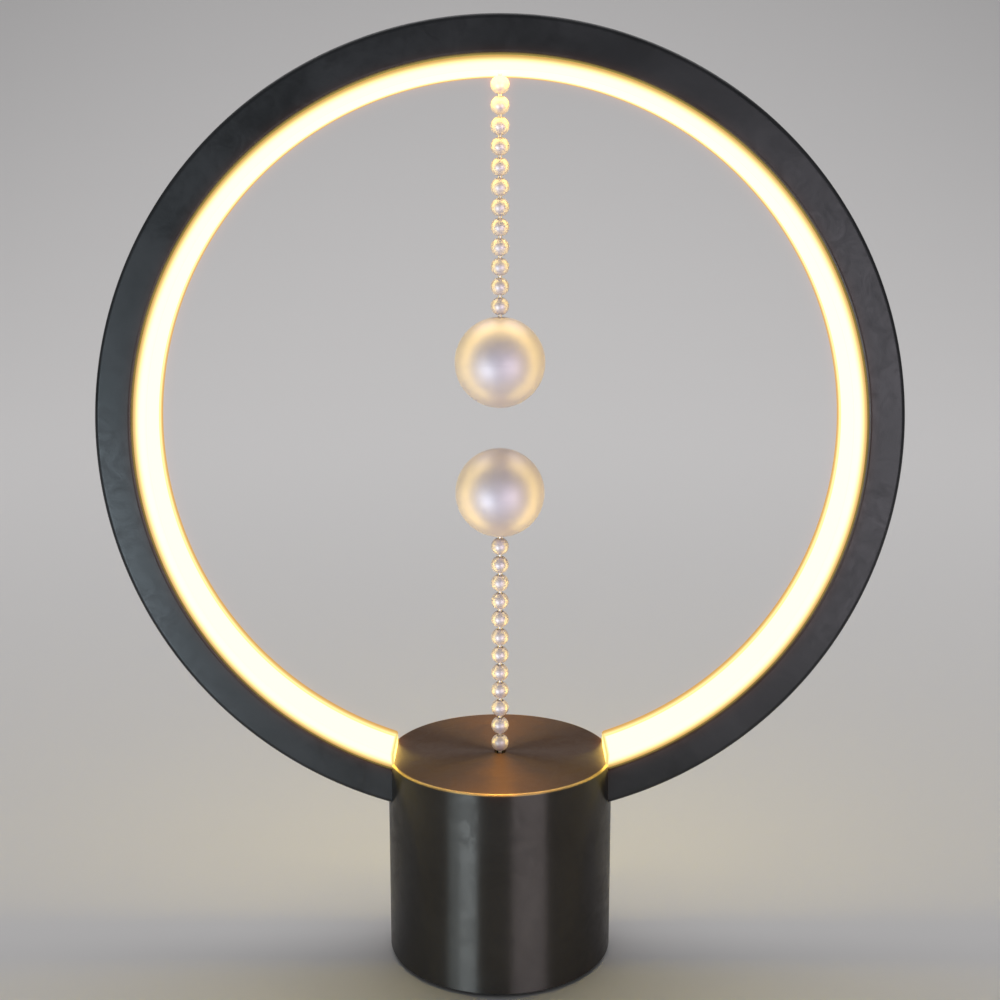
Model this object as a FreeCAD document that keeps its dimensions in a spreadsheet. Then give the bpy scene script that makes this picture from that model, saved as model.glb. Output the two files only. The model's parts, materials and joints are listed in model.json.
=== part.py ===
import FreeCAD, Part
import math
import os
import re
import Sketcher
from FreeCAD import Placement, Rotation, Vector

# Balance lamp: an upright ring light on a round foot, with two bead chains that end in magnetic balls.
# Millimetres. The origin is the centre of the foot's underside, +Z is up and the ring's axis is Y.
# The rest position is the lit one: the lower chain is drawn up and holds the switch plunger up.

# Driving sizes, one row of the sheet each.
SIZES = {
    # ring
    "ring_radius": 100.0,
    "ring_depth": 18.0,
    "ring_sink": 15.0,
    "frame_width": 9.5,
    "frame_wall": 1.8,
    "frame_bevel": 1.3,
    "frame_end": 15.2,
    "diffuser_width": 3.4,
    "diffuser_wall": 1.2,
    "diffuser_bevel": 0.6,
    "diffuser_end": 27.5,
    "diffuser_fit": 0.08,
    "tongue_length": 2.5,
    "tongue_wall": 1.0,
    "strip_play": 0.4,
    "strip_thickness": 0.9,
    "strip_end": 24.9,
    "strip_fit": 0.05,
    "chip_length": 2.8,
    "chip_width": 3.5,
    "chip_height": 0.7,
    "chip_count": 54,
    # foot
    "pad_thickness": 0.8,
    "pad_radius": 25.0,
    "housing_radius": 29.4,
    "housing_height": 53.3,
    "housing_wall": 2.5,
    "housing_top_wall": 2.5,
    "top_bevel": 0.7,
    "bottom_bevel": 0.5,
    "ring_fit": 0.15,
    "plate_thickness": 2.2,
    "plate_fit": 0.15,
    "weight_gap": 0.2,
    "weight_height": 9.0,
    "weight_screw_place": 11.0,
    "post_radius": 3.0,
    "post_sink": 0.4,
    "plate_post_height": 13.0,
    "plate_screw_length": 9.0,
    # cradle that carries the ring inside the foot
    "cradle_drop": 22.1,
    "cradle_half_length": 21.8,
    "cradle_half_width": 8.0,
    "cradle_plate": 4.0,
    "cradle_plate_length": 31.0,
    "cradle_plate_width": 33.0,
    "cradle_post_x": 12.0,
    "cradle_post_y": 13.3,
    "cradle_screw_length": 11.0,
    "cradle_post_radius": 2.8,
    "ring_screw_x": 18.4,
    "ring_screw_y": 4.2,
    "ring_screw_length": 14.0,
    "plug_start": 15.5,
    "plug_length": 5.7,
    "plug_height": 5.0,
    # screws
    "screw_radius": 1.2,
    "screw_head_radius": 2.3,
    "screw_head_height": 1.3,
    "screw_play": 0.2,
    "thread_fit": 0.02,
    "drive_radius": 1.1,
    "drive_depth": 0.7,
    # circuit board and what it carries
    "board_drop": 13.0,
    "board_thickness": 1.6,
    "board_half_width": 10.5,
    "board_play": 0.5,
    "board_post_gap": 1.3,
    "leg_radius": 2.6,
    "leg_x": 7.2,
    "leg_y": 12.0,
    "board_screw_length": 7.0,
    "driver_x": -5.5,
    "driver_y": 10.0,
    "driver_width": 5.0,
    "driver_length": 6.0,
    "driver_height": 1.6,
    "resistor_x": -7.2,
    "resistor_y": 15.9,
    "resistor_step": 3.0,
    "resistor_length": 1.6,
    "resistor_width": 0.8,
    "resistor_height": 0.6,
    "can_side_inset": 5.25,
    "can_front_inset": 8.0,
    "can_radius": 3.8,
    "can_height": 8.5,
    "socket_width": 8.94,
    "socket_height": 3.26,
    "socket_length": 9.2,
    "socket_wall": 0.3,
    "socket_inset": 0.8,
    "socket_fit": 0.2,
    "socket_floor": 1.0,
    "tongue_thick": 0.7,
    "tongue_wide": 6.6,
    "tongue_inset": 2.0,
    "wire_radius": 0.45,
    "wire_spacing": 1.6,
    "wire_inset": 1.2,
    "wire_drop": 3.0,
    "wire_x": 23.4,
    # switch and its plunger
    "case_width": 6.0,
    "case_height": 6.5,
    "pin_inset": 0.75,
    "pin_width": 0.6,
    "pin_thick": 0.4,
    "pin_reach": 1.0,
    "pin_play": 0.2,
    "button_radius": 1.6,
    "button_rise": 1.4,
    "button_depth": 2.1,
    "button_fit": 0.08,
    "switch_gap": 0.1,
    "pull_travel": 0.3,
    "rod_radius": 1.5,
    "flange_radius": 3.7,
    "flange_height": 1.0,
    "flange_place": 1.9,
    "spring_radius": 2.6,
    "spring_wire": 0.25,
    "spring_length": 4.7,
    "spring_turns": 4.5,
    "spring_play": 0.01,
    "bush_radius": 3.0,
    "bush_collar": 3.9,
    "bush_collar_height": 0.8,
    "bush_length": 7.0,
    "bush_fit": 0.05,
    "cup_radius": 2.1,
    "cup_wall": 0.6,
    "cup_gap": 0.6,
    # chains and balls
    "bead_radius": 2.28,
    "bead_wall": 0.35,
    "bead_hole": 0.85,
    "bead_gap": 0.26,
    "head_overlap": 0.1,
    "head_play": 0.03,
    "shank_play": 0.4,
    "top_clearance": 0.2,
    "foot_clearance": 0.16,
    "chain_hole": 1.45,
    "chain_hole_bevel": 0.25,
    "ball_radius": 11.35,
    "ball_wall": 1.2,
    "ball_gap": 0.3,
    "mouth_flare": 0.5,
    "smallest_air_gap": 8.0,
    "lip_height": 1.0,
    "lip_wall": 0.6,
    "lip_fit": 0.06,
    "magnet_radius": 6.0,
    "magnet_height": 5.0,
    "magnet_fit": 0.04,
    "seat_plate": 1.2,
    "seat_wall": 1.2,
    "seat_grip": 1.8,
    # anchor of the upper chain, in the channel of the ring
    "bridge_length": 14.0,
    "bridge_play": 0.12,
    "bridge_wall": 1.2,
    "bridge_drop": 0.9,
    "swivel_play": 0.1,
}

doc = FreeCAD.newDocument("balance_lamp")
sheet = doc.addObject("Spreadsheet::Sheet", "sizes")
for row, (alias, number) in enumerate(SIZES.items(), start=1):
    sheet.set(f"A{row}", alias)
    sheet.set(f"B{row}", str(number))
    sheet.setAlias(f"B{row}", alias)
doc.recompute()

NODES = {}
ACROSS = Rotation(Vector(1, 0, 0), 90)  # turns an upright cylinder to lie along Y, from 0 towards -Y
SIDEWAYS = Rotation(Vector(0, 1, 0), 90)  # turns an upright cylinder to lie along X, from 0 towards +X
RESISTORS = 5
WORD = re.compile(r"[a-z][a-z_]*")

# Levels and radii that several pieces share, as formulas of the sizes.
HOUSING_TOP = "(pad_thickness + housing_height)"
RING_CENTER = f"({HOUSING_TOP} + ring_radius - ring_sink)"
RING_INNER = "(ring_radius - frame_width)"
DIFFUSER_INNER = f"({RING_INNER} - diffuser_width)"
CHANNEL_FLOOR = "(ring_radius - frame_wall)"
CAVITY_RADIUS = "(housing_radius - housing_wall)"
PLATE_TOP = "(pad_thickness + plate_thickness)"
POST_CIRCLE = f"({CAVITY_RADIUS} + post_sink - post_radius)"
WEIGHT_RADIUS = f"({POST_CIRCLE} - post_radius - weight_gap)"
CRADLE_BOTTOM = f"({HOUSING_TOP} - cradle_drop)"
BOARD_BOTTOM = f"({CRADLE_BOTTOM} - board_drop)"
BOARD_TOP = f"({BOARD_BOTTOM} + board_thickness)"
BOARD_FRONT = f"({POST_CIRCLE} - post_radius - board_post_gap)"
BOARD_BACK = f"sqrt(({CAVITY_RADIUS} - board_play)^2 - board_half_width^2)"
BUTTON_TOP = f"({BOARD_TOP} + case_height + button_rise)"
PLUNGER_FOOT = f"({BUTTON_TOP} + switch_gap)"
FLANGE_TOP = f"({PLUNGER_FOOT} + flange_place + flange_height)"
SPRING_TOP = f"({FLANGE_TOP} + spring_length)"
CRADLE_STEP = f"({SPRING_TOP} + bush_collar_height)"
PITCH = "(2 * bead_radius + bead_gap)"
HEAD_RADIUS = "(bead_hole + head_overlap)"
SHANK_RADIUS = "(bead_hole - shank_play)"
HEAD_SEAT = f"sqrt({HEAD_RADIUS}^2 - bead_hole^2)"
BEAD_INNER = "(bead_radius - bead_wall)"
PIVOT = f"(sqrt({BEAD_INNER}^2 - bead_hole^2) - {HEAD_SEAT} - head_play)"
BALL_INNER = "(ball_radius - ball_wall)"
BALL_PIVOT = f"(sqrt({BALL_INNER}^2 - bead_hole^2) - {HEAD_SEAT} - head_play)"
MAGNET_TOP = f"(sqrt({BALL_INNER}^2 - magnet_radius^2) - magnet_fit)"
CUP_TOP = f"({HOUSING_TOP} - housing_top_wall - cup_gap)"
STEM_HEAD = f"({CUP_TOP} - cup_wall - {HEAD_SEAT} - head_play)"
BRIDGE_TOP = f"({RING_CENTER} + {CHANNEL_FLOOR} - tongue_length - frame_wall - bridge_drop)"
BRIDGE_HOLE = f"({SHANK_RADIUS} + swivel_play)"
BRIDGE_HALF = "(ring_depth / 2 - frame_wall - diffuser_fit - tongue_wall - bridge_play)"
STRIP_WIDTH = f"(2 * ({BRIDGE_HALF} - bridge_wall - strip_play))"


def formula(text):
    """The text with each size's name pointing at the sheet."""
    return WORD.sub(lambda word: "sizes." + word[0] if word[0] in SIZES else word[0], text)


def number(text):
    return float(sheet.evalExpression(formula(text)))


def bind(item, **texts):
    for name, text in texts.items():
        item.setExpression(name, formula(text))
    return item


def place(item, x="0", y="0", z="0", turn=None):
    item.Placement = Placement(Vector(), turn or Rotation())
    for axis, text in zip("xyz", (x, y, z)):
        item.setExpression("Placement.Base." + axis, formula(text))
    return item


def node(name, item):
    """Names a finished sub-part; the name is also its file's name."""
    item.Label = name
    NODES[name] = item
    return item


def cylinder(name, radius, height, **where):
    item = doc.addObject("Part::Cylinder", name)
    return place(bind(item, Radius=radius, Height=height), **where)


def cone(name, low_radius, high_radius, height, **where):
    item = doc.addObject("Part::Cone", name)
    return place(bind(item, Radius1=low_radius, Radius2=high_radius, Height=height), **where)


def sphere(name, radius, **where):
    return place(bind(doc.addObject("Part::Sphere", name), Radius=radius), **where)


def block(name, x, y, z):
    """A box between two formulas along each axis."""
    item = doc.addObject("Part::Box", name)
    sides = zip(("Length", "Width", "Height"), (x, y, z))
    spans = {side: f"({high}) - ({low})" for side, (low, high) in sides}
    return place(bind(item, **spans), x=x[0], y=y[0], z=z[0])


def fuse(name, *pieces):
    item = doc.addObject("Part::MultiFuse", name)
    item.Shapes = list(pieces)
    return item


def cut(name, base, *tools):
    item = doc.addObject("Part::Cut", name)
    item.Base = base
    item.Tool = tools[0] if len(tools) == 1 else fuse(name + "_tools", *tools)
    return item


def common(name, first, second):
    item = doc.addObject("Part::MultiCommon", name)
    item.Shapes = [first, second]
    return item


def group(name, pieces):
    item = doc.addObject("Part::Compound", name)
    item.Links = list(pieces)
    return item


def origin_part(body, role):
    return next(part for part in body.Origin.OriginFeatures if part.Role == role)


def outline(body, name, plane, points):
    """A closed sketch through points given as formulas, each held to the origin."""
    sketch = body.newObject("Sketcher::SketchObject", name)
    sketch.AttachmentSupport = (origin_part(body, plane), [""])
    sketch.MapMode = "FlatFace"
    corners = [Vector(number(x), number(y), 0) for x, y in points]
    for corner, following in zip(corners, corners[1:] + corners[:1]):
        sketch.addGeometry(Part.LineSegment(corner, following), False)
    for index in range(len(corners)):
        sketch.addConstraint(Sketcher.Constraint("Coincident", index, 2, (index + 1) % len(corners), 1))
    for index, (corner, texts) in enumerate(zip(corners, points)):
        for kind, value, text, axis in zip(("DistanceX", "DistanceY"), corner, texts, (-2, -1)):
            if text == "0":
                sketch.addConstraint(Sketcher.Constraint("PointOnObject", index, 1, axis))
                continue
            held = sketch.addConstraint(Sketcher.Constraint(kind, -1, 1, index, 1, value))
            sketch.setExpression(f"Constraints[{held}]", formula(text))
    return sketch


def turned(name, plane, points, **where):
    """A body turned from an outline about the plane's upright axis."""
    body = doc.addObject("PartDesign::Body", name + "_body")
    sketch = outline(body, name + "_outline", plane, points)
    turn = body.newObject("PartDesign::Revolution", name + "_turned")
    turn.Profile = sketch
    turn.ReferenceAxis = (sketch, ["V_Axis"])
    turn.Angle = 360
    body.Tip = turn
    return place(body, **where)


def tube(name, outer, inner, width, end="0"):
    """A band about the ring's axis between two radii, cut off where it passes through the foot."""
    y = f"({width}) / 2"
    rim = cylinder(name + "_rim", outer, width, y=y, z=RING_CENTER, turn=ACROSS)
    hollow = cylinder(name + "_hollow", inner, width, y=y, z=RING_CENTER, turn=ACROSS)
    tools = [hollow]
    if end != "0":
        low = f"{RING_CENTER} - ({outer}) - frame_width"
        tools.append(block(name + "_gap", (f"-({end})", end), (f"-{y}", y), (low, RING_CENTER)))
    return cut(name, rim, *tools)


def screws(name, places, seat, length):
    """Upright screws with a hex socket; their heads point down and end at the seat."""
    pieces = []
    for index, (x, y) in enumerate(places):
        at = dict(x=x, y=y)
        tag = f"{name}_{index}"
        low = f"{seat} - screw_head_height"
        head = cylinder(tag + "_head", "screw_head_radius", "screw_head_height", z=low, **at)
        shank = cylinder(tag + "_shank", "screw_radius", length, z=seat, **at)
        drive = doc.addObject("Part::Prism", tag + "_drive")
        drive.Polygon = 6
        place(bind(drive, Circumradius="drive_radius", Height="drive_depth"), z=low, **at)
        pieces.append(cut(tag, fuse(tag + "_blank", head, shank), drive))
    return node(name, group(name, pieces))


def screw_holes(name, places, low, length, radius):
    return [cylinder(f"{name}_{index}", radius, length, x=x, y=y, z=low)
            for index, (x, y) in enumerate(places)]


THREAD = "(screw_radius + thread_fit)"
LOOSE = "(screw_radius + screw_play)"
HEAD_BORE = "(screw_head_radius + screw_play)"

# Where the screws stand, seen from above.
PLATE_PLACES = []
for degrees in (30, 150, 270):
    PLATE_PLACES.append((f"{POST_CIRCLE} * cos({degrees} deg)", f"{POST_CIRCLE} * sin({degrees} deg)"))
WEIGHT_PLACES = [("-weight_screw_place", "0"), ("weight_screw_place", "0")]
CRADLE_PLACES = [(f"{x} * cradle_post_x", f"{y} * cradle_post_y") for x in (-1, 1) for y in (-1, 1)]
RING_PLACES = [(f"{x} * ring_screw_x", f"{y} * ring_screw_y") for x in (-1, 1) for y in (-1, 1)]
LEG_PLACES = [("-leg_x", "-leg_y"), ("leg_x", "leg_y")]
PIN_PLACES = [(f"{x} * (case_width / 2 - pin_inset)", f"{y} * case_width / 4")
              for x in (-1, 1) for y in (-1, 1)]


def make_ring_frame():
    """Channel ring, open towards its centre, with bevelled edges and cut off inside the foot."""
    half = "ring_depth / 2"
    edge = f"({half} - frame_bevel)"
    inside = f"({half} - frame_wall)"
    upper = [
        ("ring_radius", edge),
        ("ring_radius - frame_bevel", half),
        (f"{RING_INNER} + frame_bevel", half),
        (RING_INNER, edge),
        (RING_INNER, inside),
        (CHANNEL_FLOOR, inside),
    ]
    lower = [(radius, f"-({across})") for radius, across in reversed(upper)]
    ring = turned("channel_ring", "XY_Plane", upper + lower, z=RING_CENTER)
    gap = block("frame_gap", ("-frame_end", "frame_end"), ("-ring_depth", "ring_depth"),
                (f"{RING_CENTER} - 2 * ring_radius", RING_CENTER))
    low = f"{RING_CENTER} - ring_radius"
    holes = screw_holes("frame_hole", RING_PLACES, low, "frame_width", LOOSE)
    wires = cylinder("wire_hole", "wire_spacing", "frame_width", x="wire_x", z=low)
    node("ring_frame", cut("ring_frame", ring, gap, wires, *holes))


def make_ring_diffuser():
    """Light cover of the channel: a C that ends at the foot, with two tongues inside the channel."""
    half = "ring_depth / 2"
    edge = f"({half} - diffuser_bevel)"
    tongue_top = f"({half} - frame_wall - diffuser_fit)"
    tongue_low = f"({tongue_top} - tongue_wall)"
    shoulder = f"({RING_INNER} - diffuser_fit)"
    upper = [
        (DIFFUSER_INNER, edge),
        (f"{DIFFUSER_INNER} + diffuser_bevel", half),
        (shoulder, half),
        (shoulder, tongue_top),
        (f"{RING_INNER} + tongue_length", tongue_top),
        (f"{RING_INNER} + tongue_length", tongue_low),
        (f"{DIFFUSER_INNER} + diffuser_wall", tongue_low),
    ]
    lower = [(radius, f"-({across})") for radius, across in reversed(upper)]
    ring = turned("cover_ring", "XY_Plane", upper + lower, z=RING_CENTER)
    gap = block("cover_gap", ("-diffuser_end", "diffuser_end"), ("-ring_depth", "ring_depth"),
                (f"{RING_CENTER} - 2 * ring_radius", RING_CENTER))
    stem_hole = cylinder("stem_hole", "bead_hole", "2 * diffuser_wall",
                         z=f"{RING_CENTER} + {DIFFUSER_INNER} - diffuser_wall / 2")
    node("ring_diffuser", cut("ring_diffuser", ring, gap, stem_hole))


def make_light_strip():
    """Flexible circuit on the channel's floor, and its row of light chips."""
    strip_outer = f"({CHANNEL_FLOOR} - strip_fit)"
    strip_inner = f"({strip_outer} - strip_thickness)"
    node("led_strip", tube("led_strip", strip_outer, strip_inner, STRIP_WIDTH, "strip_end"))
    body = doc.addObject("PartDesign::Body", "chip_row")
    half = "chip_length / 2"
    high = f"{strip_inner} - chip_height"
    back = f"sqrt({strip_inner}^2 - ({half})^2)"
    face = outline(body, "chip_outline", "XZ_Plane",
                   [(f"-{half}", high), (half, high), (half, back), (f"-{half}", back)])
    chip = body.newObject("PartDesign::Pad", "chip")
    chip.Profile = face
    chip.Midplane = True
    bind(chip, Length="chip_width")
    row = body.newObject("PartDesign::PolarPattern", "chips")
    row.Originals = [chip]
    row.Axis = (origin_part(body, "Y_Axis"), [""])
    row.Mode = 0
    # the chips stop a little before the strip does
    span = f"(360 deg - 2 * asin((strip_end + 2 * chip_length) / {strip_inner}))"
    bind(row, Occurrences="chip_count", Angle=span)
    body.Tip = row
    place(body, z=RING_CENTER, turn=Rotation(Vector(0, 1, 0), -number(span) / 2))
    node("led_chips", body)


def make_ring_mounting():
    """Plugs in the channel's ends, and the cradle that they are screwed to."""
    band = tube("plug_band", f"{CHANNEL_FLOOR} - strip_fit", f"{CHANNEL_FLOOR} - plug_height",
                "ring_depth - 2 * frame_wall - 2 * diffuser_fit")
    low = f"{RING_CENTER} - ring_radius"
    plugs = []
    for side, (start, stop) in {"left": ("-plug_start - plug_length", "-plug_start"),
                                "right": ("plug_start", "plug_start + plug_length")}.items():
        zone = block(side + "_plug_zone", (start, stop), ("-ring_depth", "ring_depth"), (low, RING_CENTER))
        holes = screw_holes(side + "_plug_hole", RING_PLACES, low, "ring_screw_length + frame_width", THREAD)
        plugs.append(cut(side + "_plug", common(side + "_plug_blank", band, zone), *holes))
    node("ring_end_plugs", group("ring_end_plugs", plugs))

    half_length = "cradle_half_length"
    half_width = "cradle_half_width"
    saddle = block("saddle", (f"-{half_length}", half_length), (f"-{half_width}", half_width),
                   (CRADLE_BOTTOM, RING_CENTER))
    plate = block("saddle_plate", ("-cradle_plate_length / 2", "cradle_plate_length / 2"),
                  ("-cradle_plate_width / 2", "cradle_plate_width / 2"),
                  (CRADLE_BOTTOM, f"{CRADLE_BOTTOM} + cradle_plate"))
    legs = [cylinder(f"board_leg_{index}", "leg_radius", f"{CRADLE_BOTTOM} + cradle_plate - {BOARD_TOP}",
                     x=x, y=y, z=BOARD_TOP) for index, (x, y) in enumerate(LEG_PLACES)]
    seat = cylinder("ring_seat", "ring_radius", "4 * cradle_half_width", y="2 * cradle_half_width",
                    z=RING_CENTER, turn=ACROSS)
    well = cylinder("spring_well", "bush_collar + bush_fit", f"{CRADLE_STEP} - {CRADLE_BOTTOM}",
                    z=CRADLE_BOTTOM)
    bore = cylinder("bush_bore", "bush_radius + thread_fit", "bush_length + cradle_plate", z=CRADLE_STEP)
    tall = f"{RING_CENTER} - {CRADLE_BOTTOM}"
    holes = screw_holes("cradle_hole", CRADLE_PLACES, CRADLE_BOTTOM, tall, LOOSE)
    holes += screw_holes("saddle_hole", RING_PLACES, CRADLE_BOTTOM, tall, LOOSE)
    holes += screw_holes("leg_hole", LEG_PLACES, BOARD_TOP, "board_screw_length", THREAD)
    blank = fuse("cradle_blank", saddle, plate, *legs)
    node("ring_cradle", cut("ring_cradle", blank, seat, well, bore, *holes))
    screws("cradle_screws", CRADLE_PLACES, CRADLE_BOTTOM, "cradle_screw_length")
    screws("ring_screws", RING_PLACES, CRADLE_BOTTOM, "ring_screw_length")


def make_base_housing():
    """Round cup, open below, that the ring passes through at two sides of its top."""
    ceiling = f"({HOUSING_TOP} - housing_top_wall)"
    cup = turned("housing_cup", "XZ_Plane", [
        ("0", HOUSING_TOP),
        ("housing_radius - top_bevel", HOUSING_TOP),
        ("housing_radius", f"{HOUSING_TOP} - top_bevel"),
        ("housing_radius", "pad_thickness + bottom_bevel"),
        ("housing_radius - bottom_bevel", "pad_thickness"),
        (CAVITY_RADIUS, "pad_thickness"),
        (CAVITY_RADIUS, ceiling),
        ("0", ceiling),
    ])
    posts = [cylinder(f"plate_post_{index}", "post_radius", "plate_post_height", x=x, y=y, z=PLATE_TOP)
             for index, (x, y) in enumerate(PLATE_PLACES)]
    cradle_top = f"({CRADLE_BOTTOM} + cradle_plate)"
    reach = f"{HOUSING_TOP} - top_bevel - {cradle_top}"
    posts += [cylinder(f"cradle_post_{index}", "cradle_post_radius", reach, x=x, y=y, z=cradle_top)
              for index, (x, y) in enumerate(CRADLE_PLACES)]
    blank = fuse("housing_blank", cup, *posts)

    slot_width = "ring_depth + 2 * ring_fit"
    slot = tube("ring_slot", "ring_radius + ring_fit", f"{RING_INNER} - ring_fit", slot_width)
    notch = tube("cover_notch", f"{RING_INNER} + ring_fit", f"{DIFFUSER_INNER} - ring_fit", slot_width,
                 "diffuser_end - ring_fit")
    hole = cylinder("chain_bore", "chain_hole", "2 * housing_top_wall",
                    z=f"{HOUSING_TOP} - 2 * housing_top_wall")
    flare = cone("chain_flare", "chain_hole", "chain_hole + 2 * chain_hole_bevel", "2 * chain_hole_bevel",
                 z=f"{HOUSING_TOP} - chain_hole_bevel")
    socket = socket_bar("socket_slot", "socket_fit", "housing_radius", "housing_radius")
    threads = screw_holes("plate_thread", PLATE_PLACES, "pad_thickness",
                          "plate_thickness + plate_screw_length", THREAD)
    threads += screw_holes("cradle_thread", CRADLE_PLACES, CRADLE_BOTTOM,
                           "cradle_screw_length + screw_radius", THREAD)
    node("base_housing", cut("base_housing", blank, slot, notch, hole, flare, socket, *threads))


def make_bottom():
    """Bottom plate with its rubber pad, and the steel weight that keeps the lamp upright."""
    plate = cylinder("plate_disc", f"{CAVITY_RADIUS} - plate_fit", "plate_thickness", z="pad_thickness")
    places = PLATE_PLACES + WEIGHT_PLACES
    holes = screw_holes("plate_hole", places, "pad_thickness", "plate_thickness", LOOSE)
    holes += screw_holes("plate_bore", places, "pad_thickness", "screw_head_height", HEAD_BORE)
    node("bottom_plate", cut("bottom_plate", plate, *holes))
    node("foot_pad", cylinder("foot_pad", "pad_radius", "pad_thickness"))
    weight = cylinder("weight_disc", WEIGHT_RADIUS, "weight_height", z=PLATE_TOP)
    threads = screw_holes("weight_thread", WEIGHT_PLACES, "pad_thickness", "weight_height", THREAD)
    node("counterweight", cut("counterweight", weight, *threads))
    seat = "pad_thickness + screw_head_height"
    screws("plate_screws", PLATE_PLACES, seat, "plate_screw_length")
    screws("weight_screws", WEIGHT_PLACES, seat, "weight_height - screw_head_height")


def socket_bar(name, extra, length, back):
    """A bar with round sides, the shape of the power socket, along Y."""
    radius = f"(socket_height / 2 + {extra})"
    half_span = "(socket_width / 2 - socket_height / 2)"
    height = f"{BOARD_TOP} + socket_height / 2"
    front = f"({back}) - ({length})"
    sides = [cylinder(f"{name}_side_{index}", radius, length, x=x, y=back, z=height, turn=ACROSS)
             for index, x in enumerate((f"-{half_span}", half_span))]
    middle = block(name + "_middle", (f"-{half_span}", half_span), (front, back),
                   (f"{height} - {radius}", f"{height} + {radius}"))
    return fuse(name, middle, *sides)


def make_socket():
    """Shell and tongue of the power inlet, at the back edge of the board."""
    back = "(housing_radius - socket_inset)"
    shell = socket_bar("shell_blank", "0", "socket_length", back)
    mouth = socket_bar("shell_mouth", "-socket_wall", "socket_length - socket_floor", back)
    node("socket_shell", cut("socket_shell", shell, mouth))
    height = f"{BOARD_TOP} + socket_height / 2"
    front = f"{back} - socket_length + socket_floor"
    node("socket_tongue", block("socket_tongue", ("-tongue_wide / 2", "tongue_wide / 2"),
                                (front, f"{back} - tongue_inset"),
                                (f"{height} - tongue_thick / 2", f"{height} + tongue_thick / 2")))


def make_board():
    """Circuit board under the cradle's legs, and the parts on it."""
    board = block("board_blank", ("-board_half_width", "board_half_width"), (f"-{BOARD_FRONT}", BOARD_BACK),
                  (BOARD_BOTTOM, BOARD_TOP))
    holes = screw_holes("board_hole", LEG_PLACES, BOARD_BOTTOM, "board_thickness", LOOSE)
    slots = [upright_bar(f"pin_slot_{index}", x, y, "pin_width + 2 * pin_play", "pin_thick + 2 * pin_play",
                         BOARD_BOTTOM, BOARD_TOP) for index, (x, y) in enumerate(PIN_PLACES)]
    node("circuit_board", cut("circuit_board", board, *holes, *slots))
    screws("board_screws", LEG_PLACES, BOARD_BOTTOM, "board_screw_length - board_thickness / 2")
    node("driver_chip", upright_bar("driver_chip", "driver_x", "driver_y", "driver_width", "driver_length",
                                    BOARD_TOP, f"{BOARD_TOP} + driver_height"))
    node("capacitor", cylinder("capacitor", "can_radius", "can_height", x="board_half_width - can_side_inset",
                               y=f"can_front_inset - {BOARD_FRONT}", z=BOARD_TOP))
    chips = [upright_bar(f"chip_resistor_{index}", f"(resistor_x + {index} * resistor_step)", "resistor_y",
                         "resistor_length", "resistor_width", BOARD_TOP, f"{BOARD_TOP} + resistor_height")
             for index in range(RESISTORS)]
    node("chip_resistors", group("chip_resistors", chips))


def upright_bar(name, x, y, wide, deep, low, high):
    """A box centred on a place seen from above, between two heights."""
    across = (f"{x} - ({wide}) / 2", f"{x} + ({wide}) / 2")
    along = (f"{y} - ({deep}) / 2", f"{y} + ({deep}) / 2")
    return block(name, across, along, (low, high))


def make_switch():
    """Small push switch under the plunger: case, four pins and the button."""
    half = "case_width / 2"
    top = f"({BOARD_TOP} + case_height)"
    case = block("case_blank", (f"-{half}", half), (f"-{half}", half), (BOARD_TOP, top))
    deep = f"({BUTTON_TOP} - button_rise - button_depth)"
    bore = cylinder("button_bore", "button_radius + button_fit", "2 * case_height", z=f"{deep} - pull_travel")
    node("switch_case", cut("switch_case", case, bore))
    pins = [upright_bar(f"switch_pin_{index}", x, y, "pin_width", "pin_thick",
                        f"{BOARD_BOTTOM} - pin_reach", BOARD_TOP) for index, (x, y) in enumerate(PIN_PLACES)]
    node("switch_pins", group("switch_pins", pins))
    node("switch_button", cylinder("switch_button", "button_radius", "button_rise + button_depth", z=deep))


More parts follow.
